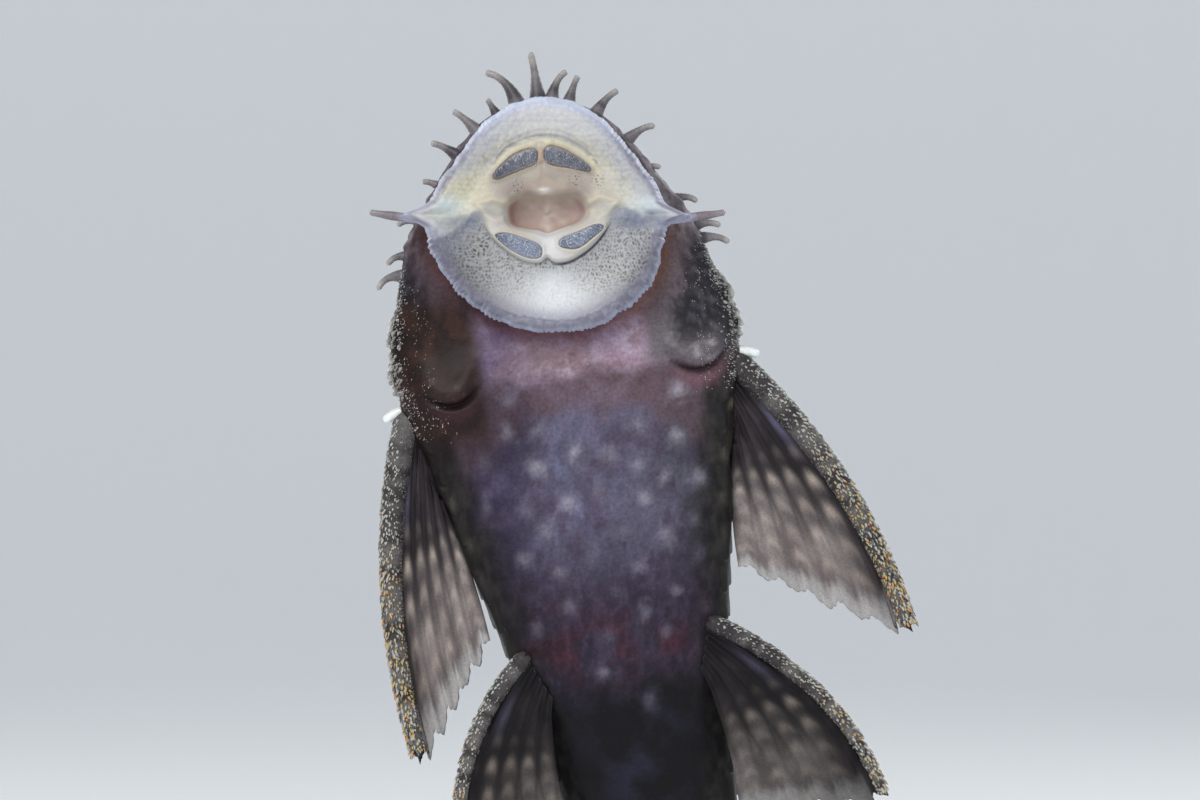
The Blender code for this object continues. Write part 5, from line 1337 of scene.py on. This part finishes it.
def fan(root_from, root_to, angles, lengths, height_of):
    """Roots and tips of an upright fin: angle from the tail direction, and length, for each ray."""
    roots, tips = [], []
    for k, length in enumerate(lengths):
        share = k / (len(lengths) - 1)
        station = root_from + (root_to - root_from) * share
        root = np.array([station, 0.0, float(height_of(station))])
        angle = math.radians(angles[0] + (angles[1] - angles[0]) * share)
        roots.append(root)
        tips.append(root + length * np.array([math.cos(angle), 0.0, math.sin(angle)]))
    return roots, tips


def above_back(station):
    return back_height(station) + GAP + 0.1


def under_belly(station):
    return smooth(BELLY, station) - GAP - 0.1


def caudal_rays(count=16):
    roots, tips = [], []
    for k in range(count):
        share = k / (count - 1)
        root = np.array([STANDARD_LENGTH + GAP, 0.0, 1.5 + 9.8 * share])
        angle = math.radians(-15 + 33 * share)
        length = 29.0 - 4.5 * share - 3.6 * math.sin(math.pi * share)
        roots.append(root)
        tips.append(root + length * np.array([math.cos(angle), 0.0, math.sin(angle)]))
    return roots, tips, [np.array((0.0, 0.35, 0.0))] * count


PECTORAL_TIPS = {1: ((53.6, 25.9, 3.0), (44.6, 11.6, 1.6)), -1: ((56.6, -19.6, 3.4), (47.0, -11.2, 1.4))}
FIN_ROOTS = {sign: [pectoral_rays(sign, *PECTORAL_TIPS[sign])[0], pelvic_rays(sign)[0]] for sign in (1, -1)}


def fin_points(rays, per, rows, root_in, seed):
    """A fin's middle surface (column, row), its share along each ray and its place between rays."""
    roots, tips, bows = (np.array(v, float) for v in rays)
    count = len(roots)
    x = np.linspace(0, count - 1, (count - 1) * per + 1)
    order = np.arange(count)
    root, tip, bow = (np.stack([smooth(np.stack([order, v[:, c]], 1), x) for c in range(3)], -1) for v in (roots, tips, bows))
    notch = 0.045 * (0.5 - 0.5 * np.cos(2 * math.pi * x)) + 0.012 * (0.5 - 0.5 * np.cos(8 * math.pi * x))
    notch = notch + 0.014 * (1 + cloud(x * 3, x * 0, 1.0, seed)) * step(x, 0.0, 1.0)
    tip = root + (tip - root) * (1 - notch)[:, None]
    s = np.concatenate([np.linspace(-root_in, 0.0, 5)[:-1], np.linspace(0.0, 1.0, rows)])
    path = root[:, None] + (tip - root)[:, None] * s[:, None] + bow[:, None] * (4 * s * (1 - s))[:, None]
    return place(path[..., 0], path[..., 1], path[..., 2]), np.broadcast_to(s, path.shape[:2]), np.broadcast_to(x[:, None], path.shape[:2])


def ray_ridges(points, s, x, thick, count):
    """Half thickness that the rays add to the web, and how much each place is on a ray. Rays fork twice."""
    spacing = np.linalg.norm(np.gradient(points, x[:, 0], axis=0), axis=-1)
    length = np.cumsum(np.linalg.norm(np.diff(points, axis=1, prepend=points[:, :1]), axis=-1), axis=1)
    first, second = 0.19 * step(s, 0.4, 0.72), 0.1 * step(s, 0.7, 0.95)
    ridge, on_ray = np.zeros(s.shape), np.zeros(s.shape)
    for k in range(count):
        wide = (0.3 - 0.16 * np.clip(s, 0, 1)) / spacing
        tall = RAY_RIDGE * thick[k] * (1 - 0.75 * np.clip(s, 0, 1)) / 2 + 0.03
        for a in (-1, 1):
            for b in (-1, 1):
                shape = bell(x, k + a * first + b * second, wide)
                on_ray = np.maximum(on_ray, shape)
                ridge = np.maximum(ridge, tall * shape)
    joints = 1 - 0.22 * step(np.cos(2 * math.pi * length / 0.62), 0.55, 1.0) * step(s, 0.2, 0.35)
    return ridge * joints, on_ray


def build_fin(name, rays, thick, hint, paint, nodes, seed, per=14, rows=110, root_in=0.05):
    """A fin in one closed piece: a thin web with forked, jointed rays standing out on both faces."""
    count = len(rays[0])
    points, s, x = fin_points(rays, per, rows, root_in, seed)
    normals = np.cross(np.gradient(points, axis=0), np.gradient(points, axis=1))
    normals /= np.linalg.norm(normals, axis=-1, keepdims=True)
    normals *= np.sign((normals @ np.array(hint)).mean())
    ridge, on_ray = ray_ridges(points, s, x, thick, count)
    web = 0.13 - 0.07 * np.clip(s, 0, 1)
    sway = 0.25 * np.sin(2 * math.pi * x + 0.6) * np.clip(s, 0, 1) ** 2 * step(x, 0.0, 1.0)
    points = points + normals * sway[..., None]
    upper = points + normals * (web + ridge)[..., None]
    lower = points - normals * (web + ridge)[..., None]
    columns, steps = s.shape
    rings = np.concatenate([upper, lower[::-1]], axis=0).transpose(1, 0, 2)
    tint = paint(x, np.clip(s, 0, 1), on_ray, count)
    tints = np.concatenate([tint, tint[::-1]], axis=0).transpose(1, 0, 2).reshape(-1, 3)
    quads, unwrap = grid_faces(steps, 2 * columns, True)
    j = np.arange(columns - 1)
    other = 2 * columns - 1 - j
    ends = []
    for start, turn in ((0, 1), ((steps - 1) * 2 * columns, -1)):
        ends.append((start + np.stack([j, other, other - 1, j + 1], 1))[:, ::turn])
    end_places = np.broadcast_to([[0.0, 0.0], [0.001, 0.0], [0.001, 0.001], [0.0, 0.001]], (2 * (columns - 1), 4, 2))
    piece(name, rings, tints, [quads, np.concatenate(ends)], [unwrap, end_places], MEMBRANE, nodes)
    return points, normals


def paired_tint(x, s, on_ray, count):
    """Dark foot and leading edge, streaks of pale oval spots between the rays, a painted lilac highlight on the first
    ray, and a pale ragged margin.
    """
    dark = mix(srgb(33, 29, 33), srgb(58, 51, 55), step(layered(x * 2, s * 14, 1.6, 121), -0.4, 0.6))
    outer = step(s + 0.05 * x + 0.05 * layered(x, s * 10, 1.5, 122), 0.45, 0.85) * step(x, 0.6, 2.4)
    tint = mix(dark, mix(srgb(110, 101, 100), srgb(146, 137, 134), step(layered(x * 2, s * 12, 1.3, 123), -0.5, 0.7)), 0.85 * outer)
    gap = np.floor(x)
    between = np.abs(x - gap - 0.5)
    rows = s * 7.5 + 1.7 * np.sin(2.4 * gap)
    oval = np.exp(-((between / 0.27) ** 2)) * bell(rows - np.floor(rows), 0.5, 0.25) * step(s, 0.24, 0.4)
    keep = hashed(gap.astype(np.int64), np.floor(rows).astype(np.int64) + 40, 127)
    tint = mix(tint, srgb(184, 170, 160), 0.8 * oval * (0.35 + 0.65 * keep) * step(x, 0.4, 1.0))
    tint = mix(tint, srgb(36, 31, 35), 0.7 * on_ray * step(-s, -0.85, -0.4))
    # Painted highlight: lilac-grey along the first ray near the fin's foot.
    tint = mix(tint, srgb(112, 108, 136), 0.65 * bell(x, 1.35, 0.3) * bell(s, 0.2, 0.09))
    tint = mix(tint, srgb(30, 25, 30), 0.85 * bell(x, 0.55, 0.45) * step(-s, -0.97, -0.8))
    margin = step(s + 0.05 * layered(x * 4, s * 10, 1.0, 125), 0.86, 0.98)
    return mix(tint, srgb(178, 176, 176), 0.75 * margin * step(x, 0.2, 1.2))


def pelvic_tint(x, s, on_ray, count):
    """As the pectoral fins, much darker, partly as painted shade on these lower fins."""
    return (0.42 + 0.25 * step(s, 0.6, 1.0) * step(x, 1.5, 4.5))[..., None] * paired_tint(x, s, on_ray, count)


def upright_tint(x, s, on_ray, count):
    """Black-brown with rows of small pale spots along the rays, and a thin pale margin."""
    tint = mix(srgb(42, 38, 40), srgb(76, 68, 64), step(layered(x * 2, s * 14, 1.8, 131), -0.3, 0.7))
    rows = s * 8.0 + 0.5 * (np.round(x) % 2) + 0.25 * np.round(x)
    dots = bell(rows - np.floor(rows), 0.5, 0.2) * np.exp(-(((x - np.round(x)) / 0.28) ** 2)) * step(s, 0.06, 0.14)
    tint = mix(tint, srgb(158, 148, 130), 0.7 * dots)
    tint = mix(tint, srgb(92, 84, 80), 0.35 * on_ray * (1 - dots))
    return mix(tint, srgb(150, 146, 142), 0.6 * step(s, 0.93, 0.99))


def build_spine(name, points, normals, radii, toward, paint_gold, thorns, seed, start=0.0):
    """A fin's bony leading spine, round in section, set with rows of small hooked spines."""
    rng = np.random.default_rng(seed)
    per = 14
    middle = points[0] * 0.8 + points[per] * 0.2
    share = np.linspace(0.0, 1.0, len(middle))
    picks = np.linspace(start, 0.985, 90)
    path = np.stack([np.interp(picks, share, middle[:, c]) for c in range(3)], -1)
    taper = radii[0] + (radii[1] - radii[0]) * picks[:-1]
    taper = taper * np.clip((1.0 - picks[:-1]) / 0.05, 0.1, 1.0) ** 0.5
    taper = taper * np.clip((picks[:-1] - start + 0.01) / 0.03, 0.3, 1.0) ** 0.5
    sides = 22
    along = np.linspace(0, 1, len(taper))
    blotch = step(cloud(along * 30, along * 0, 1.0, seed), -0.6, 0.8)
    tint = mix(srgb(60, 56, 58), srgb(118, 114, 112), blotch * (0.5 + 0.5 * along))
    root_place = np.array([[0.5, 0.5]])
    horn_piece(name, path[None], taper[None], sides, tint[None], root_place, SKIN)
    if not thorns:
        return
    order = np.arange(thorns)
    at = start + 0.02 + (0.95 - start) * (order + 0.5) / thorns
    turn = np.radians(order * 137.5 + rng.uniform(-60, 60, thorns))
    root = np.stack([np.interp(at, share, middle[:, c]) for c in range(3)], -1)
    ahead = np.stack([np.interp(np.minimum(at + 0.03, 1.0), share, middle[:, c]) for c in range(3)], -1) - root
    ahead /= np.linalg.norm(ahead, axis=1, keepdims=True)
    normal = np.stack([np.interp(at, share, normals[0][:, c]) for c in range(3)], -1)
    normal -= ahead * np.sum(normal * ahead, axis=1, keepdims=True)
    normal /= np.linalg.norm(normal, axis=1, keepdims=True)
    outer = np.cross(ahead, normal) * toward
    out = outer * np.cos(turn)[:, None] + normal * np.sin(turn)[:, None]
    radius = radii[0] + (radii[1] - radii[0]) * at
    length = (0.2 + 0.26 * at) * rng.uniform(0.6, 1.3, thorns) * (0.75 + 0.35 * np.cos(turn))
    steps = np.linspace(0, 1, 5)
    paths = []
    for s in steps:
        rise = radius * 0.96 + length * (0.8 * s - 0.25 * s * s)
        paths.append(root + out * rise[:, None] + ahead * (length * 1.05 * s**1.4)[:, None])
    thick = (0.085 + 0.045 * at) * rng.uniform(0.6, 1.4, thorns)
    thorn_radii = thick[:, None] * np.array([1.0, 0.95, 0.72, 0.4])
    kind = rng.random(thorns)
    gold = paint_gold * step(at, 0.1, 0.75)
    body = mix(srgb(186, 187, 182), srgb(196, 172, 112), (kind < 0.36) * gold)
    body = mix(body, srgb(212, 136, 50), (kind < 0.08) * gold)
    body = mix(body, srgb(112, 108, 102), (kind > 0.66) * 1.0)
    body = mix(body, srgb(66, 62, 63), 0.8 * step(-np.cos(turn) - 1.3 * at, -0.4, 0.4))
    tints = mix(srgb(52, 48, 48), body[:, None], np.array([0.2, 0.6, 0.9, 1.0]) + 0 * body[:, :1])
    places = np.stack([0.5 + 0.4 * np.cos(turn), at], 1)
    horn_piece(f"{name}_odontodes", np.stack(paths, 1), thorn_radii, 6, tints, places, ODONTODE)


def build_fins():
    for sign, name in ((1, "left"), (-1, "right")):
        rays = pectoral_rays(sign, *PECTORAL_TIPS[sign])
        points, normals = build_fin(
            f"pectoral_web_{name}", rays, [2.2] + [1.0] * 6, (0, 1, 0), paired_tint, (f"pectoral_fin_{name}",), 141 + sign,
        )
        build_spine(f"pectoral_spine_{name}", points, normals, (1.2, 0.66), sign, 1.0, 2200, 151 + sign)
        points, normals = build_fin(
            f"pelvic_web_{name}", pelvic_rays(sign), [1.6] + [1.0] * 5, (0, 1, 0), pelvic_tint, (f"pelvic_fin_{name}",), 161 + sign,
        )
        build_spine(f"pelvic_spine_{name}", points, normals, (0.8, 0.45), sign, 0.7, 900, 171 + sign)
    lengths = (22.5, 24.0, 23.5, 22.0, 20.0, 17.5, 15.0, 11.5)
    rays = (*fan(45.5, 65.5, (74, 52), lengths, above_back), spread((-1.6, 0.0, 1.0), (-0.4, 0.0, 0.6), 8))
    points, normals = build_fin("dorsal_web", rays, [1.4] + [1.0] * 7, (1, 0, 0), upright_tint, ("dorsal_fin",), 181)
    build_spine("dorsal_spine", points, normals, (0.75, 0.35), 1, 0.3, 150, 183)
    rays = (*fan(79.6, 85.4, (36, 14), (7.2, 5.6, 3.4), above_back), [np.array((0, 0, 0.3))] * 3)
    points, normals = build_fin("adipose_web", rays, [1.2, 0.4, 0.4], (1, 0, 0), upright_tint, ("adipose_fin",), 185, rows=50, root_in=0.2)
    build_spine("adipose_spine", points, normals, (0.6, 0.35), 1, 0.3, 60, 187)
    rays = (*fan(65.5, 69.3, (-38, -12), (8.5, 9.4, 9.4, 8.6, 7.4), under_belly), [np.array((0.0, 0.0, -0.5))] * 5)
    build_fin("anal_web", rays, [1.3] + [0.9] * 4, (1, 0, 0), upright_tint, ("anal_fin",), 189, rows=60, root_in=0.12)
    build_fin("caudal_web", caudal_rays(), [1.3] + [0.9] * 14 + [1.2], (1, 0, 0), upright_tint, ("caudal_fin",), 191, per=12)


# Stage


def build_stand():
    for node, finish in (("stand_base", wood()), ("stand_rod", steel())):
        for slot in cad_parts[node].material_slots:
            slot.material = finish


def build_stage():
    """A pale floor that curves up far away into a pale wall all round."""
    profile = [(0.0, 0.0), (1150.0, 0.0)]
    for k in range(1, 13):
        turn = math.radians(7.5 * k)
        profile.append((1150.0 + 500.0 * math.sin(turn), 500.0 * (1 - math.cos(turn))))
    profile.append((1650.0, 1500.0))
    turns = np.linspace(0, 2 * math.pi, 96, endpoint=False)
    rings = np.array([[(r * math.cos(t), r * math.sin(t), z) for t in turns] for r, z in profile[1:]])
    quads = grid_faces(len(rings), len(turns), True)[0][:, ::-1]
    points = np.concatenate([rings.reshape(-1, 3), [(0.0, 0.0, 0.0)]])
    j = np.arange(len(turns))
    fan_faces = np.stack([np.full(len(turns), len(points) - 1), j, (j + 1) % len(turns)], 1)
    mesh = bpy.data.meshes.new("floor")
    mesh.from_pydata([tuple(p) for p in points * MM], [], quads.tolist() + fan_faces.tolist())
    mesh.shade_smooth()
    paint = bpy.data.materials.new("pale_floor")
    paint.use_nodes = True
    paint.node_tree.nodes["Principled BSDF"].inputs["Base Color"].default_value = (0.74, 0.75, 0.76, 1)
    paint.node_tree.nodes["Principled BSDF"].inputs["Roughness"].default_value = 0.9
    paint.node_tree.nodes["Principled BSDF"].inputs["Emission Color"].default_value = (0.9, 0.95, 1.0, 1)
    paint.node_tree.nodes["Principled BSDF"].inputs["Emission Strength"].default_value = 0.22
    mesh.materials.append(paint)
    floor = bpy.data.objects.new("floor", mesh)
    bpy.context.scene.collection.objects.link(floor)


def add_light(name, where, aim, size, power, colour):
    lamp = bpy.data.lights.new(name, "AREA")
    lamp.shape = "DISK"
    lamp.size = size
    lamp.energy = power
    lamp.color = colour
    obj = bpy.data.objects.new(name, lamp)
    obj.location = where
    obj.rotation_euler = (Vector(aim) - Vector(where)).to_track_quat("-Z", "Y").to_euler()
    bpy.context.scene.collection.objects.link(obj)


def build_lights():
    aim = (0.0, 0.0, 0.09)
    add_light("key", (-0.13, -0.34, 0.36), (0.0, 0.0, 0.1), 0.28, 1.25, (1.0, 0.98, 0.95))
    add_light("fill", (0.55, -0.55, 0.12), aim, 0.5, 0.45, (0.92, 0.95, 1.0))
    add_light("rim_right", (0.42, 0.45, 0.4), aim, 0.3, 1.3, (0.95, 0.98, 1.0))
    add_light("rim_left", (-0.5, 0.38, 0.34), aim, 0.3, 1.1, (1.0, 0.97, 0.93))
    world = bpy.data.worlds.new("studio")
    world.use_nodes = True
    world.node_tree.nodes["Background"].inputs["Color"].default_value = (0.86, 0.9, 0.95, 1)
    world.node_tree.nodes["Background"].inputs["Strength"].default_value = 0.3
    bpy.context.scene.world = world
    bpy.context.scene.view_settings.view_transform = "Standard"


def build_camera():
    lens = bpy.data.cameras.new("camera")
    lens.sensor_width = 36.0
    lens.lens = 36.0 * CAMERA_DISTANCE / FRAME_WIDTH
    lens.clip_start = 0.01
    camera = bpy.data.objects.new("camera", lens)
    x, _, z = DISC_CENTRE
    camera.location = Vector((x + CAMERA_ASIDE, GLASS_Y - CAMERA_DISTANCE, z - CAMERA_BELOW)) * MM
    camera.rotation_euler = (math.radians(90), 0, 0)
    bpy.context.scene.collection.objects.link(camera)
    bpy.context.scene.camera = camera


build_camera()
build_skin()
build_odontodes()
build_disc()
build_teeth()
build_bristles()
build_barbels()
for side_sign, side_name in ((1, "left"), (-1, "right")):
    build_eye(side_sign, side_name)
    build_cheek(side_sign, side_name)
    build_granules(side_sign, side_name)
build_fins()
build_stand()
build_stage()
build_lights()
